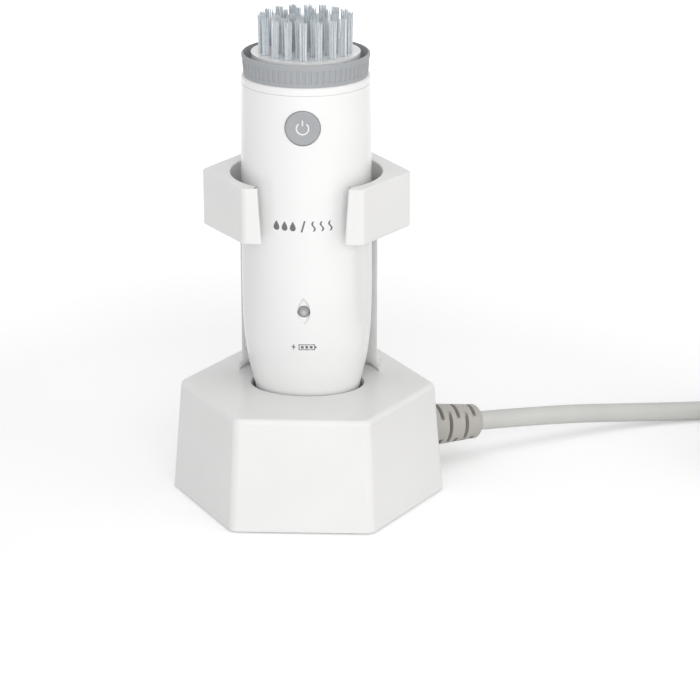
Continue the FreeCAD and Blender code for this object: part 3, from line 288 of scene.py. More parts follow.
def noiseOn(tree, scale, detail=3.0, stretch=(1, 1, 1)):
    mapping = added(tree, "Mapping", Scale=stretch, Vector=placeOn(tree))
    noise = added(tree, "TexNoise", Scale=scale, Detail=detail, Vector=mapping.outputs["Vector"])
    return noise.outputs["Fac"]


def blendColours(tree, factor, dark, light, low=0.3, high=0.7):
    ramp = added(tree, "ValToRGB", Fac=factor)
    for stop, position, colour in zip(ramp.color_ramp.elements, (low, high), (dark, light)):
        stop.position = position
        stop.color = (*colour, 1)
    return ramp.outputs["Color"]


def spread(tree, factor, low, high):
    return added(tree, "MapRange", Value=factor, To_Min=low, To_Max=high).outputs["Result"]


def bumpOn(tree, shader, height, strength):
    bump = added(tree, "Bump", Strength=strength, Distance=0.0002, Height=height)
    feed(tree, shader, Normal=bump.outputs["Normal"])


def plastic(name, dark, light, rough=(0.3, 0.38), grain=2600, bump=0.04, mottle=45, **sockets):
    # faint cloudiness, uneven gloss and the fine grain of the mould
    material, tree, shader = newMaterial(name, **sockets)
    feed(tree, shader, Base_Color=blendColours(tree, noiseOn(tree, mottle, 4), dark, light),
         Roughness=spread(tree, noiseOn(tree, 160), *rough))
    bumpOn(tree, shader, noiseOn(tree, grain, 2), bump)
    return material


def metal(name, dark, light):  # drawn or turned, streaked along one way
    material, tree, shader = newMaterial(name, Metallic=1.0)
    streaks = noiseOn(tree, 700, 3, stretch=(1, 1, 12))
    feed(tree, shader, Base_Color=blendColours(tree, streaks, dark, light),
         Roughness=spread(tree, streaks, 0.2, 0.34))
    bumpOn(tree, shader, streaks, 0.05)
    return material


def winding(name, dark, light):  # enamelled wire in fine turns
    material, tree, shader = newMaterial(name, Metallic=0.9)
    waves = added(tree, "TexWave", Scale=600, Distortion=0.4, Vector=placeOn(tree))
    waves.bands_direction = "Z"
    turns = waves.outputs["Fac"]
    feed(tree, shader, Base_Color=blendColours(tree, turns, dark, light),
         Roughness=spread(tree, turns, 0.45, 0.25))
    bumpOn(tree, shader, turns, 0.5)
    return material


standWhite = plastic("standWhite", (0.775, 0.775, 0.77), (0.80, 0.80, 0.795), rough=(0.26, 0.34), bump=0.03)
# the post's own copy of the stand's white, made lighter and given deep subsurface scattering so it reads
# light where the handle and collar shade it; the lighter colour is painted light
postWhiteLit = plastic("postWhiteLit", (0.84, 0.84, 0.835), (0.86, 0.86, 0.855), rough=(0.26, 0.34), bump=0.03,
                    Subsurface_Weight=0.9, Subsurface_Scale=0.012, Subsurface_Radius=(1.0, 1.0, 0.95))
handleWhite = plastic("handleWhite", (0.81, 0.81, 0.81), (0.83, 0.83, 0.83), rough=(0.16, 0.22), bump=0.015,
                      Coat_Weight=0.2, Coat_Roughness=0.1)
leadGrey = plastic("leadGrey", (0.55, 0.55, 0.53), (0.60, 0.60, 0.58), rough=(0.42, 0.5), grain=1800,
                   bump=0.06)
reliefTaupe = plastic("reliefTaupe", (0.40, 0.385, 0.36), (0.445, 0.43, 0.405), rough=(0.4, 0.5),
                      grain=2200, bump=0.08)
softGrey = plastic("softGrey", (0.34, 0.355, 0.37), (0.38, 0.395, 0.41), rough=(0.5, 0.6), grain=3200,
                   bump=0.1)
footRubber = plastic("footRubber", (0.07, 0.07, 0.07), (0.1, 0.1, 0.1), rough=(0.6, 0.75), bump=0.2)
printGrey = plastic("printGrey", (0.12, 0.12, 0.125), (0.17, 0.17, 0.175), rough=(0.4, 0.5))
lensGrey = plastic("lensGrey", (0.13, 0.13, 0.13), (0.19, 0.19, 0.19), rough=(0.06, 0.12), bump=0.02,
                   Coat_Weight=0.6)
blackPart = plastic("blackPart", (0.015, 0.015, 0.016), (0.028, 0.028, 0.03), rough=(0.4, 0.55), bump=0.1)
acetal = plastic("acetal", (0.66, 0.62, 0.52), (0.72, 0.69, 0.6), rough=(0.35, 0.45))
boardGreen = plastic("boardGreen", (0.02, 0.13, 0.06), (0.03, 0.18, 0.085), mottle=600)
cellWrap = plastic("cellWrap", (0.03, 0.12, 0.38), (0.04, 0.15, 0.44), rough=(0.2, 0.3), Coat_Weight=0.3)
bristleNylon = plastic("bristleNylon", (0.60, 0.66, 0.70), (0.74, 0.78, 0.81), rough=(0.3, 0.4), mottle=900,
                       bump=0.02)
steelBright = metal("steelBright", (0.5, 0.5, 0.52), (0.66, 0.66, 0.68))
brassPlain = metal("brassPlain", (0.62, 0.45, 0.2), (0.78, 0.6, 0.3))
copperWire = winding("copperWire", (0.42, 0.16, 0.07), (0.75, 0.36, 0.2))
ferriteDark = plastic("ferriteDark", (0.02, 0.02, 0.022), (0.04, 0.04, 0.044), rough=(0.5, 0.7), bump=0.25)
print("materials made")

lead = {
    "diameter": 0.0065,
    "route": [  # from the end of the strain relief to the coil
        (0.055261, 0.031905, 0.011882), (0.071626, 0.041353, 0.009896), (0.0900, 0.0510, 0.0077),
        (0.1080, 0.0592, 0.0052), (0.1270, 0.0654, 0.0035), (0.1460, 0.0688, 0.0033),
        (0.1655, 0.0697, 0.0033),
    ],
    "centre": (0.184, 0.030),
    "columns": (0.0395, 0.0330),  # radius of the outer and the inner turns
    "slots": [(0, 0), (1, 0), (1, 1), (0, 1), (0, 2), (1, 2), (1, 3)],  # column and layer of each turn
    "perSlot": 0.93,  # turns spent in each slot
    "crossing": 0.24,  # share of a turn in which the lead changes slot
    "steps": 16,  # points in a turn
    "turns": 6,
    "tail": [(0.2030, 0.0590, 0.0234), (0.2145, 0.0490, 0.0248), (0.2190, 0.0380, 0.0258),
             (0.2190, 0.0280, 0.0260)],
    "length": 1.55,
}


def coilPoint(turn):  # wound clockwise from its far side, six turns beside and on each other
    column, layer = lead["slots"][0]
    radius, height = lead["columns"][column], layer
    for index, (column, layer) in enumerate(lead["slots"][1:], start=1):
        past = min(1.0, max(0.0, (turn - index * lead["perSlot"]) / lead["crossing"] + 0.5))
        change = past * past * (3 - 2 * past)
        radius += (lead["columns"][column] - radius) * change
        height += (layer - height) * change
    spare = 2 / (1 + math.cos(2 * math.pi / lead["steps"]))  # the spline cuts inside its corners
    angle = math.pi / 2 - 2 * math.pi * turn
    x, y = lead["centre"]
    return (x + radius * spare * math.cos(angle), y + radius * spare * math.sin(angle),
            lead["diameter"] * (height + 0.5))


def makeLead():
    coil = [coilPoint(step / lead["steps"]) for step in range(lead["turns"] * lead["steps"] + 1)]
    points = lead["route"] + coil + lead["tail"]
    curve = bpy.data.curves.new("mainsLead", "CURVE")
    curve.dimensions = "3D"
    curve.resolution_u = 6
    curve.bevel_depth = lead["diameter"] / 2
    curve.bevel_resolution = 5
    curve.use_fill_caps = True
    spline = curve.splines.new("NURBS")
    spline.points.add(len(points) - 1)
    for spot, point in zip(spline.points, points):
        spot.co = (*point, 1)
    spline.order_u = 3
    spline.use_endpoint_u = True
    piece = bpy.data.objects.new("mainsLead", curve)
    bpy.context.collection.objects.link(piece)
    return finish(piece, leadGrey, "mains_cord", "cord_coil")


mainsLead = makeLead()
print("lead laid")

base = {
    "corner": 0.045,
    "topCorner": 0.0419,
    "low": 0.0006,
    "high": 0.0375,
    "wall": 0.0022,
    "edgeRound": 0.0035,  # upright edges
    "rimBevel": 0.001674,  # set back on either side of the top's edge
    "mouth": (0.0183, 0.0137),  # half width and half depth of the charging well
    "mouthRound": 0.0006,
}
toFlat = math.cos(math.radians(30))  # a hexagon's flats lie this share of its corners' radius out
relief = {
    "turn": 30.0,  # degrees round from +X
    "droop": 6.0,
    "high": 0.0146,
    "baseRadius": 0.0076,
    "tipRadius": 0.0059,
    "tipRound": 0.0013,
    "neckRadius": 0.0049,  # the neck passes the housing's wall
    "neckOut": 0.0012,
    "boreLong": 0.008,  # the hole for the neck, either side of the housing's face
    "anchor": (0.0064, -0.0074, -0.0058),  # ring behind the wall: radius, inner end, outer end
    "length": 0.026,
    "endRing": 0.0026,
    "slotStart": 0.0024,
    "slotPitch": 0.00325,
    "slotWide": 0.0014,
    "slotReach": 0.009,
    "slotEdge": 0.00022,
    "web": 0.0035,  # half width of the core left between two slots
}


def baseLean():  # how far the housing's corners come in over its height, as a share
    return (base["corner"] - base["topCorner"]) / (base["high"] - base["low"])


def reliefPlace():  # local +Z leaves the base along the lead
    out = (base["corner"] - baseLean() * (relief["high"] - base["low"])) * toFlat
    turn = math.radians(relief["turn"])
    return (turnedAt((out * math.cos(turn), out * math.sin(turn), relief["high"]), relief["turn"], "Z")
            @ Matrix.Rotation(math.radians(90 + relief["droop"]), 4, "Y"))


def longAlong(axis, least):  # edges that reach further than least along x, y or z
    return lambda edge: abs(edge.verts[0].co[axis] - edge.verts[1].co[axis]) > least


uprightEdge = longAlong(2, 0.01)


def levelEdge(edge, up, within=0.00005):
    return all(abs(vert.co.z - up) < within for vert in edge.verts)


def makeBaseHousing():
    low, high = base["low"], base["high"]
    bpy.ops.mesh.primitive_cone_add(vertices=6, radius1=base["corner"], radius2=base["topCorner"],
                                    depth=high - low, location=(0, 0, (high + low) / 2),
                                    rotation=(0, 0, math.radians(30)))
    piece = settled("baseHousing")
    edit(piece, "FACE", lambda face: face.normal.z < -0.9, bpy.ops.mesh.delete, type="FACE")
    edgesRounded(piece, uprightEdge, base["edgeRound"] * math.tan(math.radians(30)), 8)
    edgesRounded(piece, lambda edge: levelEdge(edge, high), base["rimBevel"], 6)
    walled(piece, base["wall"])
    edit(piece, "VERT", lambda vert: vert.co.z < low + 0.001, bpy.ops.transform.resize, value=(1, 1, 0),
         center_override=(0, 0, low))
    wide, deep = base["mouth"]
    mouth = grown("mouthTool", [(wide, deep, high + step) for step in (-0.01, 0.01)], 128)
    bore = moved(turned("boreTool", [(relief["neckRadius"], -relief["boreLong"]),
                                     (relief["neckRadius"], relief["boreLong"])], 48), reliefPlace())
    combine(piece, [mouth, bore])

    def mouthEdge(edge):
        return levelEdge(edge, high) and all(
            abs((vert.co.x / wide) ** 2 + (vert.co.y / deep) ** 2 - 1) < 0.01 for vert in edge.verts)

    edgesRounded(piece, mouthEdge, base["mouthRound"], 4)
    smoothed(piece)
    finish(piece, standWhite, "base_shell")


def widened(section, out, up):  # a ring outside or inside an oval section
    return section[0] + out, section[1] + out, up


well = {"wall": 0.0013, "flange": 0.0032, "floor": 0.0165, "top": 0.0351, "edge": 0.0015, "footIn": 0.001}


def makeWell():
    mouth, wall, flange, edge = base["mouth"], well["wall"], well["flange"], well["edge"]
    foot, top = well["floor"] - wall, well["top"]
    rings = [widened(mouth, out, up) for out, up in (
        (-well["footIn"], foot), (wall, foot + edge), (wall, top - edge), (flange, top - edge), (flange, top),
        (0, top))]
    rings += [widened(mouth, out - edge, well["floor"] + edge + down)
              for out, down in roundArc(edge, 0, -90, 5)]
    piece = grown("chargingWell", rings, 128)
    smoothed(piece)
    finish(piece, standWhite, "charging_well")


makeBaseHousing()
makeWell()
print("base made")

post = {
    "inner": 0.0252,
    "outer": 0.0287,
    "half": 0.0222,
    "low": 0.0375,
    "high": 0.0909,
    "shoeHalf": 0.0232,
    "shoeHigh": 0.0026,
    "shoeEdge": 0.0012,  # height of its upright edge
    "shoeOut": 0.0016,
    "edge": 0.00054,
}


def curvedPlate(name, outline, half):  # (radius, height) outline spun behind the handle, ends cut square
    swing = math.radians(70)
    piece = fromPoints(name, [(radius * math.sin(swing), radius * math.cos(swing), up)
                              for radius, up in outline], [tuple(range(len(outline)))])
    edit(piece, "FACE", everything, bpy.ops.mesh.spin, steps=72, angle=-2 * swing, center=(0, 0, 0),
         axis=(0, 0, 1))
    cleaned(piece)
    for side in (1, -1):
        edit(piece, "VERT", everything, bpy.ops.mesh.bisect, plane_co=(side * half, 0, 0),
             plane_no=(side, 0, 0), clear_outer=True, use_fill=True)
    return cleaned(piece)


def makePost():
    inner, outer, low, high = post["inner"], post["outer"], post["low"], post["high"]
    piece = curvedPlate("rearPost", [(inner, low), (outer, low), (outer, high), (inner, high)], post["half"])
    toe, top = outer + post["shoeOut"], low + post["shoeHigh"]
    shoe = curvedPlate("shoe", [(inner, low), (toe, low), (toe, low + post["shoeEdge"]), (outer, top),
                                (inner, top)], post["shoeHalf"])
    combine(piece, [shoe], "UNION")
    bevelled(piece, post["edge"], 3, 40)
    smoothed(piece)
    finish(piece, postWhiteLit, "rear_post")


makePost()
print("post made")

collar = {
    "low": 0.0909,
    "high": 0.109,
    "corner": 0.0334,
    "face": (0.0187, 0.0223),  # half width of the flat front, and how far in front it lies
    "hole": 0.0242,
    "mouth": (0.0130, 0.0142),  # half width of the opening at its foot and at its top
    "cornerRound": 0.0026,
    "mouthRound": 0.0006,
    "rimRound": 0.0005,
    "run": 0.0022,  # longest run between two points of its plan
}


def roundedPath(corners, radius, steps=6):  # an open path whose inner corners are arcs
    path = [corners[0]]
    for before, corner, after in zip(corners, corners[1:], corners[2:]):
        into = (corner - before).normalized()
        away = (after - corner).normalized()
        turn = into.angle(away)
        back = radius * math.tan(turn / 2)
        middle = corner + (away - into).normalized() * radius / math.cos(turn / 2)
        for step in range(steps + 1):
            share = step / steps
            spoke = (corner - into * back - middle).lerp(corner + away * back - middle, share).normalized()
            path.append(middle + spoke * radius)
    path.append(corners[-1])
    return path


def filled(path, most):  # points added so that no run is longer than most
    dense = [path[0]]
    for before, after in zip(path, path[1:]):
        parts = max(1, math.ceil((after - before).length / most))
        dense += [before.lerp(after, k / parts) for k in range(1, parts + 1)]
    return dense


def collarRows(half):  # outer and inner plan of the C, from the right of the mouth round to its left
    reach, front = collar["face"]
    corner, hole = collar["corner"], collar["hole"]
    back = corner * toFlat
    right = [Vector(spot) for spot in ((half, -front), (reach, -front), (corner, 0), (corner / 2, back),
                                       (0, back))]
    side = filled(roundedPath(right, collar["cornerRound"]), collar["run"])
    inner = [Vector((half, -math.sqrt(hole ** 2 - half ** 2)))]
    inner += [point.normalized() * hole for point in side[1:]]
    return [rows + [Vector((-point.x, point.y)) for point in reversed(rows[:-1])] for rows in (side, inner)]


def makeCollar():
    low, high = collar["low"], collar["high"]
    footOuter, footInner = collarRows(collar["mouth"][0])
    topOuter, topInner = collarRows(collar["mouth"][1])
    count = len(footOuter)
    rows = [(footOuter, low), (footInner, low), (topOuter, high), (topInner, high)]
    points = [(point.x, point.y, up) for row, up in rows for point in row]
    faces = []
    for k in range(count - 1):
        faces += [(k, k + 1, count + k + 1, count + k),
                  (2 * count + k, 3 * count + k, 3 * count + k + 1, 2 * count + k + 1),
                  (k, 2 * count + k, 2 * count + k + 1, k + 1),
                  (count + k, count + k + 1, 3 * count + k + 1, 3 * count + k)]
    faces += [(k, count + k, 3 * count + k, 2 * count + k) for k in (0, count - 1)]
    piece = cleaned(fromPoints("supportCollar", points, faces))
    reach = max(collar["mouth"]) + 0.0001

    def mouthEdge(edge):
        return (uprightEdge(edge) and edge.calc_face_angle(0) > 0.8
                and all(vert.co.y < 0 and abs(vert.co.x) < reach for vert in edge.verts))

    edgesRounded(piece, mouthEdge, collar["mouthRound"], 4)
    edgesRounded(piece, lambda edge: (levelEdge(edge, low) or levelEdge(edge, high))
                 and edge.calc_face_angle(0) > 1, collar["rimRound"], 4)
    for vert in piece.data.vertices:  # bevelling pushes a few just past its top and foot
        vert.co.z = min(high, max(low, vert.co.z))
    smoothed(piece)
    finish(piece, standWhite, "support_collar")


makeCollar()
print("collar made")

handle = {
    "stations": [  # height, half width and half depth
        (0.017, 0.0143, 0.0103), (0.027, 0.0159, 0.0118), (0.0375, 0.0172, 0.0129), (0.046, 0.0192, 0.0160),
        (0.057, 0.0205, 0.0189), (0.070, 0.0209, 0.0205), (0.090, 0.0208, 0.0208), (0.118, 0.0207, 0.0207),
        (0.138, 0.0204, 0.0204),
    ],
    "ringGap": 0.002,
    "wall": 0.002,
    "seam": 0.002,  # the shells meet this far behind the middle
    "seamRound": 0.00022,
    "segments": 128,
    "screwHole": 0.00175,
    "screwX": 0.014,
    "screwUp": 0.074,
}
cap = {
    "split": 0.026,  # height at which the shells begin
    "round": 0.0015,
    "joint": 0.0003,  # chamfer at the joint with the shells
    "spigot": 0.0032,  # height of the part inside the shells
    "slack": 0.0001,
    "inside": 0.0034,  # its inner wall lies this far inside the outer section
    "floor": 0.0018,
}
shellTop = handle["stations"][-1][0]
topRadius = handle["stations"][-1][1]
button = {
    "up": 0.128,
    "radius": 0.0055,
    "gap": 0.00012,
    "proud": 0.0008,
    "flange": (0.01645, 0.0007, 0.0008),  # how far its back lies from the axis, its reach and thickness
    "crown": 0.0008,
    "dish": [(0.6, 0.0005), (0.3, 0.0006), (0.05, 0.00062)],  # share of the radius, and depth there
    "ring": (0.0017, 0.0021),  # inner and outer radius of the sign's ring
    "bar": (0.0002, 0.0008, 0.0026),  # half width, foot and top of the sign's bar
    "sign": (0.00085, 0.00043),  # depth of the sign's back and of its face
}
lamp = {
    "up": 0.068,
    "half": 0.0021,
    "tall": 0.00465,
    "radius": 0.0019,
    "bowl": [(1.18, -0.0030), (1.06, -0.0002), (1.0, 0.00012), (0.92, 0.0006), (0.72, 0.0012)],
    "seat": -0.0168,  # y of the lens's back
    "rod": 0.0022,
    "dome": 0.0006,
    "highlightDrop": 0.0004,  # the lens's painted highlight lies this far below its middle, so its top carries painted shade
}
throughFront = -0.03  # y where the tools for the handle's front start


def sectionAt(up):  # half width and half depth of the handle, smooth through its stations
    stations = handle["stations"]
    last = len(stations) - 1
    index = max(0, min(last - 1, sum(up >= station[0] for station in stations) - 1))

    def slope(k, column):
        low, high = stations[max(0, k - 1)], stations[min(last, k + 1)]
        return (high[column] - low[column]) / (high[0] - low[0])

    low, high = stations[index], stations[index + 1]
    span = high[0] - low[0]
    t = (up - low[0]) / span
    return tuple((2 * t ** 3 - 3 * t ** 2 + 1) * low[c] + (t ** 3 - 2 * t ** 2 + t) * span * slope(index, c)
                 + (3 * t ** 2 - 2 * t ** 3) * high[c] + (t ** 3 - t ** 2) * span * slope(index + 1, c)
                 for c in (1, 2))


def handleRings(low, high):
    count = math.ceil((high - low) / handle["ringGap"])
    return [(*sectionAt(up), up) for up in (low + (high - low) * k / count for k in range(count + 1))]


def frontOf(x, up):  # y of the handle's front surface
    wide, deep = sectionAt(up)
    return -deep * math.sqrt(max(0.0, 1 - (x / wide) ** 2))


def eyeTool():  # pointed oval bowl that ends in a flat floor
    half, tall = lamp["half"], lamp["tall"]
    radius = (half ** 2 + tall ** 2) / (2 * half)
    tip = math.asin(tall / radius)
    steps = 14
    side = [(radius * math.cos(a) - (radius - half), radius * math.sin(a))
            for a in (tip * (2 * k / steps - 1) for k in range(steps + 1))]
    outline = side + [(-x, -z) for x, z in side[1:-1]]
    front = frontOf(0, lamp["up"])
    points = [(x * size, front + depth, lamp["up"] + z * size) for size, depth in lamp["bowl"]
              for x, z in outline]
    count, levels = len(outline), len(lamp["bowl"])
    faces = [tuple(range(count)), tuple(range(count * levels - 1, count * (levels - 1) - 1, -1))]
    for level in range(levels - 1):
        for k in range(count):
            a, b = level * count + k, level * count + (k + 1) % count
            faces.append((a, b, b + count, a + count))
    return cleaned(fromPoints("eyeTool", points, faces))


def makeShells():
    tube = grown("handleTube", handleRings(cap["split"], shellTop), handle["segments"], caps=False)
    halves = {}
    for name, front in (("frontShell", True), ("rearShell", False)):
        half = duplicated(tube, name)
        edit(half, "VERT", everything, bpy.ops.mesh.bisect, plane_co=(0, handle["seam"], 0),
             plane_no=(0, 1, 0), clear_outer=front, clear_inner=not front)
        walled(half, handle["wall"])
        bevelled(half, handle["seamRound"], 2, 60)
        halves[name] = half
    bpy.data.objects.remove(tube)
    inwards, buttonHole = (0, 1, 0), button["radius"] + button["gap"]
    combine(halves["frontShell"], [
        eyeTool(), rodAt("lensHole", lamp["radius"] + 0.00005, (0, throughFront, lamp["up"]), inwards, 0.015),
        rodAt("buttonHole", buttonHole, (0, throughFront, button["up"]), inwards, 0.02, 96)])
    places = [(side * handle["screwX"], 0.0045, handle["screwUp"]) for side in (1, -1)]
    combine(halves["rearShell"], [rodAt("screwHole", handle["screwHole"], place, inwards, 0.02)
                                  for place in places])
    for half, node in zip(halves.values(), ("front_shell", "rear_shell")):
        smoothed(half, 30)
        finish(half, handleWhite, node)


def makeEndCap():
    low, split, edge, joint = handle["stations"][0][0], cap["split"], cap["round"], cap["joint"]
    foot, mouth = sectionAt(low), sectionAt(split)
    rings = [widened(foot, out - edge, low + edge + down) for out, down in roundArc(edge, -90, 0, 6)]
    rings += handleRings(low + edge + 0.001, split - joint)
    outer, inner, rim = -handle["wall"] - cap["slack"], -cap["inside"], split + cap["spigot"]
    rings += [widened(mouth, out, up) for out, up in (
        (-joint, split), (outer, split), (outer, rim), (inner, rim), (inner, low + cap["floor"]))]
    piece = grown("endCap", rings, handle["segments"])
    smoothed(piece)
    finish(piece, handleWhite, "end_cap")


makeShells()
makeEndCap()
print("handle made")


def makeRelief():
    long, ringLong, edge = relief["length"], relief["endRing"], relief["tipRound"]
    wide, tip, start = relief["baseRadius"], relief["tipRadius"], relief["slotStart"]
    web, reach = relief["web"], relief["slotReach"]
    profile = [(wide, 0.0), (wide, start), (tip, long - ringLong)]
    profile += [(tip - edge + out, long - edge + along) for out, along in roundArc(edge, 0, 90, 5)]
    sleeve = turned("strainRelief", profile, 64)
    slots = []
    room = long - ringLong - start - relief["slotWide"]
    for index in range(int(room / relief["slotPitch"]) + 1):
        low = start + index * relief["slotPitch"]
        for near, far in ((web, reach), (-reach, -web)):
            first, last = ((near, -reach), (far, reach)) if index % 2 == 0 else ((-reach, near), (reach, far))
            slots.append(blockAt("slotTool", (*first, low), (*last, low + relief["slotWide"])))
    combine(sleeve, slots)
    bevelled(sleeve, relief["slotEdge"], 2, 40)
    ring, ringIn, ringOut = relief["anchor"]
    neck = turned("reliefNeck", [(ring, ringIn), (ring, ringOut), (relief["neckRadius"], ringOut),
                                 (relief["neckRadius"], relief["neckOut"])], 48)
    slope = -math.atan(baseLean() * toFlat) - math.radians(relief["droop"])
    edit(sleeve, "VERT", everything, bpy.ops.mesh.bisect, plane_co=(0, 0, 0.0001),
         plane_no=(math.sin(slope), 0, math.cos(slope)), clear_inner=True, use_fill=True)
    piece = moved(joined("strainRelief", [sleeve, neck]), reliefPlace())
    smoothed(piece, 40)
    finish(piece, reliefTaupe, "strain_relief")


makeRelief()
print("strain relief made")

plug = {
    "x": 0.219,
    "front": -0.006,
    "back": 0.018,
    "neckEnd": 0.028,
    "half": 0.012,
    "low": 0.0195,
    "high": 0.0325,
    "edge": 0.00225,
    "waist": (0.6, 0.86, 0.86),  # the body narrows to this share at its back
    "grips": {"count": 4, "start": 0.0045, "pitch": 0.0029, "wide": 0.0013, "deep": 0.0007, "margin": 0.0028},
    "ribs": {"count": 5, "start": 0.002, "pitch": 0.0024, "radius": 0.0054, "taper": 0.0003, "edge": 0.0004,
             "long": 0.0018},
    "core": (0.0039, 0.003),  # radius of the neck, and how deep it starts in the body
    "blades": {"pitch": 0.0127, "long": 0.016, "wide": 0.0063, "thick": 0.0015, "hole": 0.0016,
               "holeIn": 0.0035, "tipRound": 0.0012},
}



def makePlug():
    x, low, high, front, back = plug["x"], plug["low"], plug["high"], plug["front"], plug["back"]
    middle = (low + high) / 2
    body = blockAt("plugBody", (x - plug["half"], front, low), (x + plug["half"], back, high))
    edit(body, "EDGE", longAlong(1, 0.01), bpy.ops.mesh.subdivide, number_cuts=3)
    edit(body, "VERT", lambda vert: vert.co.y > back - 0.001, bpy.ops.transform.resize, value=plug["waist"],
         center_override=(x, back, middle))
    edgesRounded(body, lambda edge: edge.calc_face_angle(0) > 0.6, plug["edge"], 5)
    grip = plug["grips"]
    grooves = []
    for k in range(grip["count"]):
        y = front + grip["start"] + k * grip["pitch"]
        for side in (1, -1):
            near, far = sorted((x + side * plug["half"], x + side * (plug["half"] - grip["deep"])))
            grooves.append(blockAt("gripTool", (near, y, low + grip["margin"]),
                                   (far, y + grip["wide"], high - grip["margin"])))
    combine(body, grooves)
    ribs = plug["ribs"]
    edge, long = ribs["edge"], ribs["long"]
    neck = []
    for k in range(ribs["count"]):
        radius = ribs["radius"] - k * ribs["taper"]
        rib = turned("plugRib", [(radius - edge, 0), (radius, edge), (radius, long - edge),
                                 (radius - edge, long)], 40)
        neck.append(moved(rib, turnedAt((x, back - ribs["start"] + k * ribs["pitch"], middle), -90, "X")))
    core, inside = plug["core"]
    neck.append(rodAt("plugCore", core, (x, back - inside, middle), (0, 1, 0),
                      plug["neckEnd"] - back + inside, 40))
    bevelled(body, 0.00025, 2, 40)
    piece = joined("plugBody", [body] + neck)
    smoothed(piece, 40)
    finish(piece, leadGrey, "plug_body")
    blades = []
    size = plug["blades"]
    for side in (1, -1):
        at = x + side * size["pitch"] / 2
        blade = blockAt("blade", (at - size["thick"] / 2, front - size["long"], middle - size["wide"] / 2),
                        (at + size["thick"] / 2, front, middle + size["wide"] / 2))
        edgesRounded(blade, lambda edge: all(vert.co.y < front - 0.01 for vert in edge.verts)
                     and longAlong(0, 0.001)(edge), size["tipRound"], 4)
        combine(blade, [rodAt("bladeHole", size["hole"], (at - 0.005, front - size["long"] + size["holeIn"],
                                                          middle), (1, 0, 0), 0.01, 32)])
        bevelled(blade, 0.00018, 2, 50)
        blades.append(blade)
    pins = joined("plugBlades", blades)
    smoothed(pins, 40)
    finish(pins, brassPlain, "plug_blades")
    return piece, pins


plugBody, plugBlades = makePlug()
print("plug made")

tie = {
    "turn": 282.0,
    "inner": 0.02975,
    "outer": 0.04275,
    "low": 0.0001,
    "high": 0.0195,
    "wide": 0.009,
    "thick": 0.0006,
    "bend": 0.0032,  # outer radius where the strap bends
    "tabBack": 0.009,
    "tabRound": 0.0016,
}


def makeTie():  # strap with its loose end, wrapped once round the coil
    thick, half, bend = tie["thick"], tie["wide"] / 2, tie["bend"]
    inner, outer, low, high = tie["inner"], tie["outer"], tie["low"], tie["high"]
    strap = blockAt("coilTie", (inner - thick, -half, low), (outer + thick, half, high + thick))
    room = blockAt("tieRoom", (inner, -half - 0.01, low + thick), (outer, half + 0.01, high))
    for piece, corner in ((strap, bend), (room, bend - thick)):
        edgesRounded(piece, longAlong(1, 0.001), corner, 6)
    combine(strap, [room])
    tab = blockAt("tieTab", (outer - tie["tabBack"], thick - half, high + thick),
                  (outer - bend, half - thick, high + 2 * thick))
    edgesRounded(tab, longAlong(2, thick / 2), tie["tabRound"], 5)
    piece = joined("coilTie", [strap, tab])
    bevelled(piece, 0.00015, 2, 50)
    moved(piece, turnedAt((*lead["centre"], 0), tie["turn"], "Z"))
    smoothed(piece, 40)
    finish(piece, softGrey, body="stand")


makeTie()
print("coil tied")


def makeLens():
    radius, rod, dome = lamp["radius"], lamp["rod"], lamp["dome"]
    profile = [(radius, 0.0), (radius, rod)]
    profile += [(radius * math.cos(math.radians(a)), rod + dome * math.sin(math.radians(a)))
                for a in (18, 36, 54, 72, 86)]
    piece = moved(turned("chargeLens", profile, 48),
                  turnedAt((0, lamp["seat"], lamp["up"]), 90, "X"))
    smoothed(piece, 50)
    # its colour paints light on the lens: a painted highlight in a spot just below the middle, fading to
    # painted shade at the rim and top, where the recess shades it
    material, tree, shader = newMaterial("chargeLensGrey", Roughness=0.12, Coat_Weight=0.7)
    mapping = added(tree, "Mapping", Vector=placeOn(tree))
    mapping.vector_type = "TEXTURE"
    feed(tree, mapping, Location=(0, lamp["seat"] - rod - dome, lamp["up"] - lamp["highlightDrop"]),
         Scale=(radius, radius, radius))
    brightening = added(tree, "TexGradient", Vector=mapping.outputs["Vector"])
    brightening.gradient_type = "SPHERICAL"
    feed(tree, shader, Base_Color=blendColours(tree, brightening.outputs["Fac"], (0.27, 0.27, 0.27),
                                               (0.47, 0.47, 0.47), 0.35, 0.8))
    bumpOn(tree, shader, noiseOn(tree, 1500, 2), 0.03)
    finish(piece, material, "charge_lens")


makeLens()

prints = {
    "proud": 0.00003,  # how far the printed film stands out
    "wetDry": 0.0965,  # height of the row of signs
    "charge": 0.0558,
    "tall": 0.0032,
    "pitch": 0.0026,
    "stroke": 0.00055,
    "slant": 0.0005,
    "wave": 0.00042,
    "bolt": (-0.0034, 0.0024),  # place across and height
    "battery": (0.0008, 0.0052, 0.0018, 0.00028),  # place across, width, height and stroke
}


def dropSign(x, up, tall):
    steps = 28
    return [[(x + 0.40 * tall * math.sin(t) * math.sin(t / 2) ** 1.4, up + tall / 2 * math.cos(t))
             for t in (2 * math.pi * (k + 0.5) / steps for k in range(steps))]]


def airSign(x, up, tall, stroke):  # a wavy line of warm air, in short pieces
    steps = 16
    rows = []
    for k in range(steps + 1):
        share = k / steps
        middle = x + prints["wave"] * math.sin(2 * math.pi * share)
        rows.append((middle - stroke / 2, middle + stroke / 2, up + tall * (share - 0.5)))
    return [[(a[0], a[2]), (a[1], a[2]), (b[1], b[2]), (b[0], b[2])] for a, b in zip(rows, rows[1:])]


def barSign(x, up, wide, tall, slant=0.0):
    return [[(x - wide / 2 - slant, up - tall / 2), (x + wide / 2 - slant, up - tall / 2),
             (x + wide / 2 + slant, up + tall / 2), (x - wide / 2 + slant, up + tall / 2)]]


def boltSign(x, up, tall):
    outline = [(0.12, 0.5), (-0.28, -0.06), (-0.02, -0.06), (-0.12, -0.5), (0.28, 0.08), (0.03, 0.08)]
    return [[(x + a * tall, up + b * tall) for a, b in outline]]


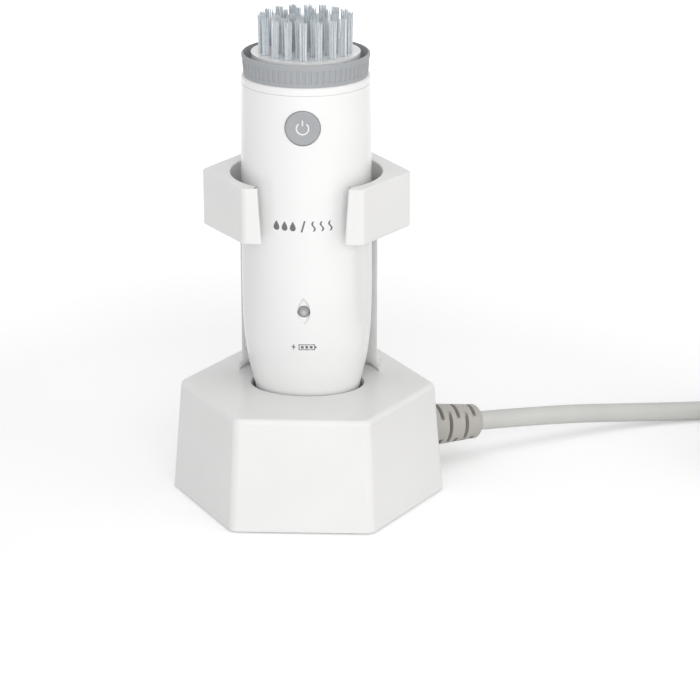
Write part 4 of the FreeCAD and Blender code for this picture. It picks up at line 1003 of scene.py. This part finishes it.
def batterySign(x, up, wide, tall, stroke):  # outline, its contact at one end and three full cells
    bars = [(0, tall / 2, wide, stroke), (0, -tall / 2, wide, stroke)]
    bars += [(side * (wide - stroke) / 2, 0, stroke, tall) for side in (1, -1)]
    bars += [(wide / 2 + stroke, 0, stroke * 1.4, tall * 0.45)]
    bars += [(k * wide * 0.27, 0, wide * 0.17, tall * 0.5) for k in (-1, 0, 1)]
    return [barSign(x + across, up + above, long, high)[0] for across, above, long, high in bars]


def printed(name, signs):  # flat signs laid on the handle's front
    points, faces = [], []
    for sign in signs:
        faces.append(tuple(range(len(points), len(points) + len(sign))))
        points += [(x, 0, up) for x, up in sign]
    piece = fromPoints(name, points, faces)
    pick(piece, "FACE", everything)
    bpy.ops.mesh.quads_convert_to_tris()
    bpy.ops.mesh.subdivide(number_cuts=1)
    leave()
    for vert in piece.data.vertices:
        vert.co.y = frontOf(vert.co.x, vert.co.z) - prints["proud"]
    cleaned(piece)
    pick(piece, "FACE", everything)
    shape = bmesh.from_edit_mesh(piece.data)
    if sum(face.normal.y for face in shape.faces) > 0:
        bpy.ops.mesh.flip_normals()
    leave()
    walled(piece, prints["proud"] * 2)
    finish(piece, printGrey, body="handle")


def makePrints():
    up, tall, pitch, stroke = prints["wetDry"], prints["tall"], prints["pitch"], prints["stroke"]
    signs = []
    for k in range(3):
        signs += dropSign(-(k + 1.25) * pitch, up, tall)
        signs += airSign((k + 1.25) * pitch, up, tall, stroke)
    signs += barSign(0, up, stroke, tall * 1.15, prints["slant"])
    printed("wetDrySigns", signs)
    boltAt, boltTall = prints["bolt"]
    batteryAt, *battery = prints["battery"]
    up = prints["charge"]
    printed("chargeSign", boltSign(boltAt, up, boltTall) + batterySign(batteryAt, up, *battery))


makePrints()
print("lamp and signs made")


def makeButton():
    radius, crown = button["radius"], button["crown"]
    front = handle["stations"][-1][2] + button["proud"]
    back, reach, thick = button["flange"]
    profile = [(radius + reach, back), (radius + reach, back + thick), (radius, back + thick)]
    profile += [(radius - crown + out, front - crown * 1.2 + along)
                for out, along in roundArc(crown, 0, 80, 5)]
    profile += [(radius * share, front - depth) for share, depth in button["dish"]]
    key = turned("powerButton", profile, 96)
    low, high = [front - depth for depth in button["sign"]]
    half, foot, head = button["bar"]
    bar = blockAt("buttonMark", (-half, foot, low), (half, head, high))
    angles = [math.radians(a) for a in range(40, 321, 10)]
    points = [(size * math.sin(a), size * math.cos(a), z) for z in (low, high) for a in angles
              for size in button["ring"]]
    count = 2 * len(angles)
    faces = [(0, 1, count + 1, count), (count - 1, count - 2, 2 * count - 2, 2 * count - 1)]
    for k in range(0, count - 2, 2):
        faces += [(k, k + 2, k + 3, k + 1), (count + k, count + k + 1, count + k + 3, count + k + 2),
                  (k, count + k, count + k + 2, k + 2), (k + 1, k + 3, count + k + 3, count + k + 1)]
    sign = joined("buttonSign", [bar, cleaned(fromPoints("buttonArc", points, faces))])
    for piece in (key, sign):
        moved(piece, turnedAt((0, 0, button["up"]), 90, "X"))
        smoothed(piece, 40)
    finish(key, softGrey, "power_button")
    finish(sign, handleWhite, body="button")


makeButton()
print("button made")

brush = {
    "noseLow": 0.138,
    "noseHigh": 0.1405,
    "noseRound": 0.0008,
    "bore": 0.005,
    "bushSeat": (0.008, 0.1355, 0.1265),  # radius, top and foot of the room for the shaft's bush
    "sleeve": 0.011,
    "spigot": (0.0021, 0.003),  # how far inside the outer wall it lies, and its length
    "skirtHigh": 0.1475,
    "skirtWall": 0.0016,
    "skirtFlare": 0.0006,
    "ribs": 64,
    "ribFoot": 0.0012,
    "ribTop": 0.0018,
    "ribDeep": 0.00022,
    "tuftLow": 0.1462,
    "tuftHigh": 0.1597,
    "tuftRadius": 0.00108,
    "step": 0.0046,
    "rows": 3,
    "turnPerRow": 10,
    "filaments": [(1, 0.0), (6, 0.42), (12, 0.84)],  # how many, at which share of the tuft's radius
    "filamentRadius": 0.00017,
    "lean": (0.02, 0.03),
    "drop": 0.0005,  # the shortest filament ends this much lower
    "seed": 7,
}


def makeNoseRing():
    low, high, edge, bore = brush["noseLow"], brush["noseHigh"], brush["noseRound"], brush["bore"]
    seat, seatTop, seatFoot = brush["bushSeat"]
    inside, long = brush["spigot"]
    profile = [(bore, seatTop), (seat, seatTop), (seat, seatFoot), (brush["sleeve"], seatFoot),
               (brush["sleeve"], low - long), (topRadius - inside, low - long), (topRadius - inside, low),
               (topRadius - 0.0002, low), (topRadius, low + 0.0002)]
    profile += [(topRadius - edge + out, high - edge + up) for out, up in roundArc(edge, 0, 90, 5)]
    profile += [(bore + 0.0004, high), (bore, high - 0.0004), (bore, seatTop)]
    piece = turned("noseRing", profile, 128, caps=False)
    smoothed(piece)
    finish(piece, handleWhite, "nose_ring")


def makeSkirt():  # soft lip that keeps the splashes down, finely ribbed outside
    low, high = brush["noseHigh"], brush["skirtHigh"]
    ribLow, ribHigh = low + brush["ribFoot"], high - brush["ribTop"]
    foot = topRadius - brush["noseRound"]
    lip, inner = foot + brush["skirtFlare"], foot - brush["skirtWall"]
    profile = [(inner, low), (foot, low), (foot + 0.0001, ribLow), (lip - 0.0002, ribHigh),
               (lip, high - 0.0012), (lip, high - 0.0003), (lip - 0.0003, high), (lip - 0.0006, high),
               (lip - 0.0008, high - 0.0003), (inner, low)]
    piece = turned("splashSkirt", profile, 4 * brush["ribs"], caps=False)
    ribTurn = 2 * math.pi / brush["ribs"]

    def between(face):  # outer faces between two ribs
        middle = face.calc_center_median()
        turn = math.atan2(middle.y, middle.x) % ribTurn
        return (ribLow < middle.z < ribHigh and math.hypot(middle.x, middle.y) > foot - 0.0003
                and ribTurn * 0.01 < turn < ribTurn * 0.5)

    edit(piece, "FACE", between, bpy.ops.mesh.inset, thickness=0.00008, depth=-brush["ribDeep"],
         use_boundary=True)
    smoothed(piece, 40)
    finish(piece, softGrey, "splash_skirt")


def makeBristles():  # one tuft of filaments, copied to every hole of the hub
    random.seed(brush["seed"])
    low, high, tuft = brush["tuftLow"], brush["tuftHigh"], brush["tuftRadius"]
    spots = [(0.0, 0.0, 0.0)]
    for row in range(1, brush["rows"] + 1):
        for k in range(6 * row):
            turn = math.radians(360 * k / (6 * row) + brush["turnPerRow"] * row)
            spots.append((row * brush["step"] * math.cos(turn), row * brush["step"] * math.sin(turn), turn))
    filament = rodAt("filament", brush["filamentRadius"], (0, 0, low), (0, 0, 1), high - low, 5)
    edit(filament, "EDGE", uprightEdge, bpy.ops.mesh.subdivide, number_cuts=2)
    edit(filament, "VERT", lambda vert: vert.co.z > high - 0.0001, bpy.ops.transform.resize,
         value=(0.6, 0.6, 1), center_override=(0, 0, high))
    strands = []
    for x, y, turn in spots:
        for count, share in brush["filaments"]:
            radius = tuft * share
            for k in range(count):
                angle = turn + 2 * math.pi * k / count + random.uniform(-0.2, 0.2)
                lean = random.uniform(*brush["lean"]) * (radius / tuft)
                drop = random.uniform(0, brush["drop"])
                strand = duplicated(filament, "strand")
                for vert in strand.data.vertices:
                    along = (vert.co.z - low) / (high - low)
                    out = radius + lean * along ** 2 * (high - low)
                    vert.co.x += x + out * math.cos(angle)
                    vert.co.y += y + out * math.sin(angle)
                    vert.co.z -= drop * along
                strands.append(strand)
    bpy.data.objects.remove(filament)
    piece = joined("bristleTufts", strands)
    smoothed(piece, 50)
    finish(piece, bristleNylon, "bristle_tufts")


makeNoseRing()
makeSkirt()
makeBristles()
print("brush made")

screws = [  # name, node, head radius and thickness, shank radius and length, way in, places
    ("collarScrews", "collar_screws", 0.0021, 0.0012, 0.0011, 0.0248, (0, 0, -1),
     [(side * 0.01096, 0.02462, 0.109) for side in (1, -1)]),
    ("baseScrews", "base_screws", 0.0021, 0.0012, 0.0011, 0.0092, (0, 0, 1),
     [(*spot, 0.0009) for spot in roundArc(0.033, 60, 300, 2)]),
    ("shellScrews", "shell_screws", 0.0017, 0.001, 0.0009, 0.011, (0, -1, 0),
     [(side * handle["screwX"], 0.007, handle["screwUp"]) for side in (1, -1)]),
]


def makeScrews():  # heads with a cross recess, each row modelled once and copied
    for name, node, head, thick, shank, long, way, places in screws:
        model = turned(name, [(head * 0.9, 0), (head, 0.00015), (head, thick), (shank, thick),
                              (shank, thick + long)], 40)
        arm, slot = head * 0.62, head * 0.16
        combine(model, [blockAt("crossTool", (-x, -y, -0.001), (x, y, thick * 0.6))
                        for x, y in ((arm, slot), (slot, arm))])
        turn = Vector(way).to_track_quat("Z", "Y").to_matrix().to_4x4()
        copies = [moved(duplicated(model, name), Matrix.Translation(place) @ turn) for place in places]
        bpy.data.objects.remove(model)
        piece = joined(name, copies)
        smoothed(piece, 40)
        finish(piece, steelBright, node)


makeScrews()
print("screws made")

plain = [  # CAD pieces that show little or nothing keep their shape
    (standWhite, ["base_plate"]),
    (handleWhite, ["brush_hub"]),
    (softGrey, ["shaft_seal", "end_seal"]),
    (footRubber, ["rubber_feet"]),
    (lensGrey, ["charge_led"]),
    (blackPart, ["coil_bobbin", "board_capacitor", "chassis", "micro_switch", "relief_clip", "supply_leads"]),
    (acetal, ["board_fuse", "ring_gear", "planet_carrier", "planet_gear_1", "planet_gear_2",
              "planet_gear_3"]),
    (boardGreen, ["charger_board", "main_board"]),
    (cellWrap, ["battery_cell"]),
    (steelBright, ["post_screws", "motor_can", "motor_armature"]),
    (brassPlain, ["battery_contacts", "sun_gear", "shaft_bush"]),
    (copperWire, ["primary_coil", "pickup_coil"]),
    (ferriteDark, ["pot_core", "pickup_core", "board_choke", "motor_magnets"]),
]
for material, names in plain:
    for node in names:
        for place in nodes[node].material_slots:
            place.material = material
        if not nodes[node].material_slots:
            nodes[node].data.materials.append(material)
for node, name, material in (
        ("brush_hub", "brushHub", handleWhite), ("rubber_feet", "rubberFeet", footRubber),
        ("base_plate", "basePlate", standWhite), ("planet_carrier", "planetCarrier", acetal)):
    finish(refined(node, name), material, node)
print("CAD pieces finished")

studio = {
    "floorSize": 6.0,
    "paper": (0.84, 0.84, 0.845),
    "lift": 0.27,  # light that only the camera and reflections see, so that the paper reads white
    "whiteFrom": 0.2,  # share of whiteAt where the paper starts to fade to pure white
    "whiteAt": 0.8,
    "fill": 0.54,  # strength of the world's light
    "aim": (0, 0, 0.06),
    "lamps": [  # name, place, size, power, colour, whether reflections show it
        ("keyLamp", (0.14, -1.16, 0.35), 0.8, 7.1, (1.0, 0.992, 0.985), False),
        ("rightLamp", (1.0, -0.45, 0.45), 0.6, 1.4, (1.0, 0.965, 0.91), True),
        ("topLamp", (0.0, -0.1, 1.3), 1.0, 3.4, (1.0, 1.0, 1.0), True),
    ],
}


def addLamps():
    for name, place, size, power, colour, reflected in studio["lamps"]:
        bpy.ops.object.light_add(type="AREA", location=place)
        shining = bpy.context.object
        shining.name = name
        shining.data.size = size
        shining.data.energy = power
        shining.data.color = colour
        shining.visible_glossy = reflected
        away = Vector(place) - Vector(studio["aim"])
        shining.rotation_euler = away.to_track_quat("Z", "Y").to_euler()


def mathOn(tree, operation, *factors):
    step = added(tree, "Math")
    step.operation = operation
    for factor, socket in zip(factors, step.inputs):
        tree.links.new(factor, socket)
    return step.outputs[0]


def cameraOrGloss(tree):  # 1 where the camera, a reflection or a clear piece looks straight at it
    rays = added(tree, "LightPath").outputs
    seen = mathOn(tree, "MAXIMUM", rays["Is Camera Ray"], rays["Is Glossy Ray"])
    return mathOn(tree, "MAXIMUM", seen, rays["Is Transmission Ray"])


def addFloor():
    bpy.ops.mesh.primitive_plane_add(size=studio["floorSize"], location=(0, 0, 0))
    floor = bpy.context.object
    floor.name = "floor"
    material, tree, shader = newMaterial("floorPaper", Roughness=0.9, Specular_IOR_Level=0.1,
                                         Emission_Color=(1, 1, 1, 1))
    dark = tuple(part * 0.985 for part in studio["paper"])
    shrink = added(tree, "Mapping", Scale=[1 / studio["whiteAt"]] * 3, Vector=placeOn(tree))
    ball = added(tree, "TexGradient", Vector=shrink.outputs["Vector"])
    ball.gradient_type = "SPHERICAL"
    fade = added(tree, "MapRange", From_Min=1 - studio["whiteFrom"], From_Max=0.0, To_Min=studio["lift"],
                 Value=ball.outputs["Fac"])
    brightening = mathOn(tree, "MULTIPLY", fade.outputs["Result"], cameraOrGloss(tree))
    feed(tree, shader, Base_Color=blendColours(tree, noiseOn(tree, 400, 4), dark, studio["paper"]),
         Emission_Strength=brightening)
    floor.data.materials.append(material)


def addWorld():
    world = bpy.data.worlds.new("studioWorld")
    bpy.context.scene.world = world
    world.use_nodes = True
    tree = world.node_tree
    feed(tree, tree.nodes["Background"], Color=(1, 1, 1, 1),
         Strength=spread(tree, cameraOrGloss(tree), studio["fill"], 1.0))


addLamps()
addFloor()
addWorld()
bpy.context.scene.view_settings.view_transform = "Standard"
print("studio lit")
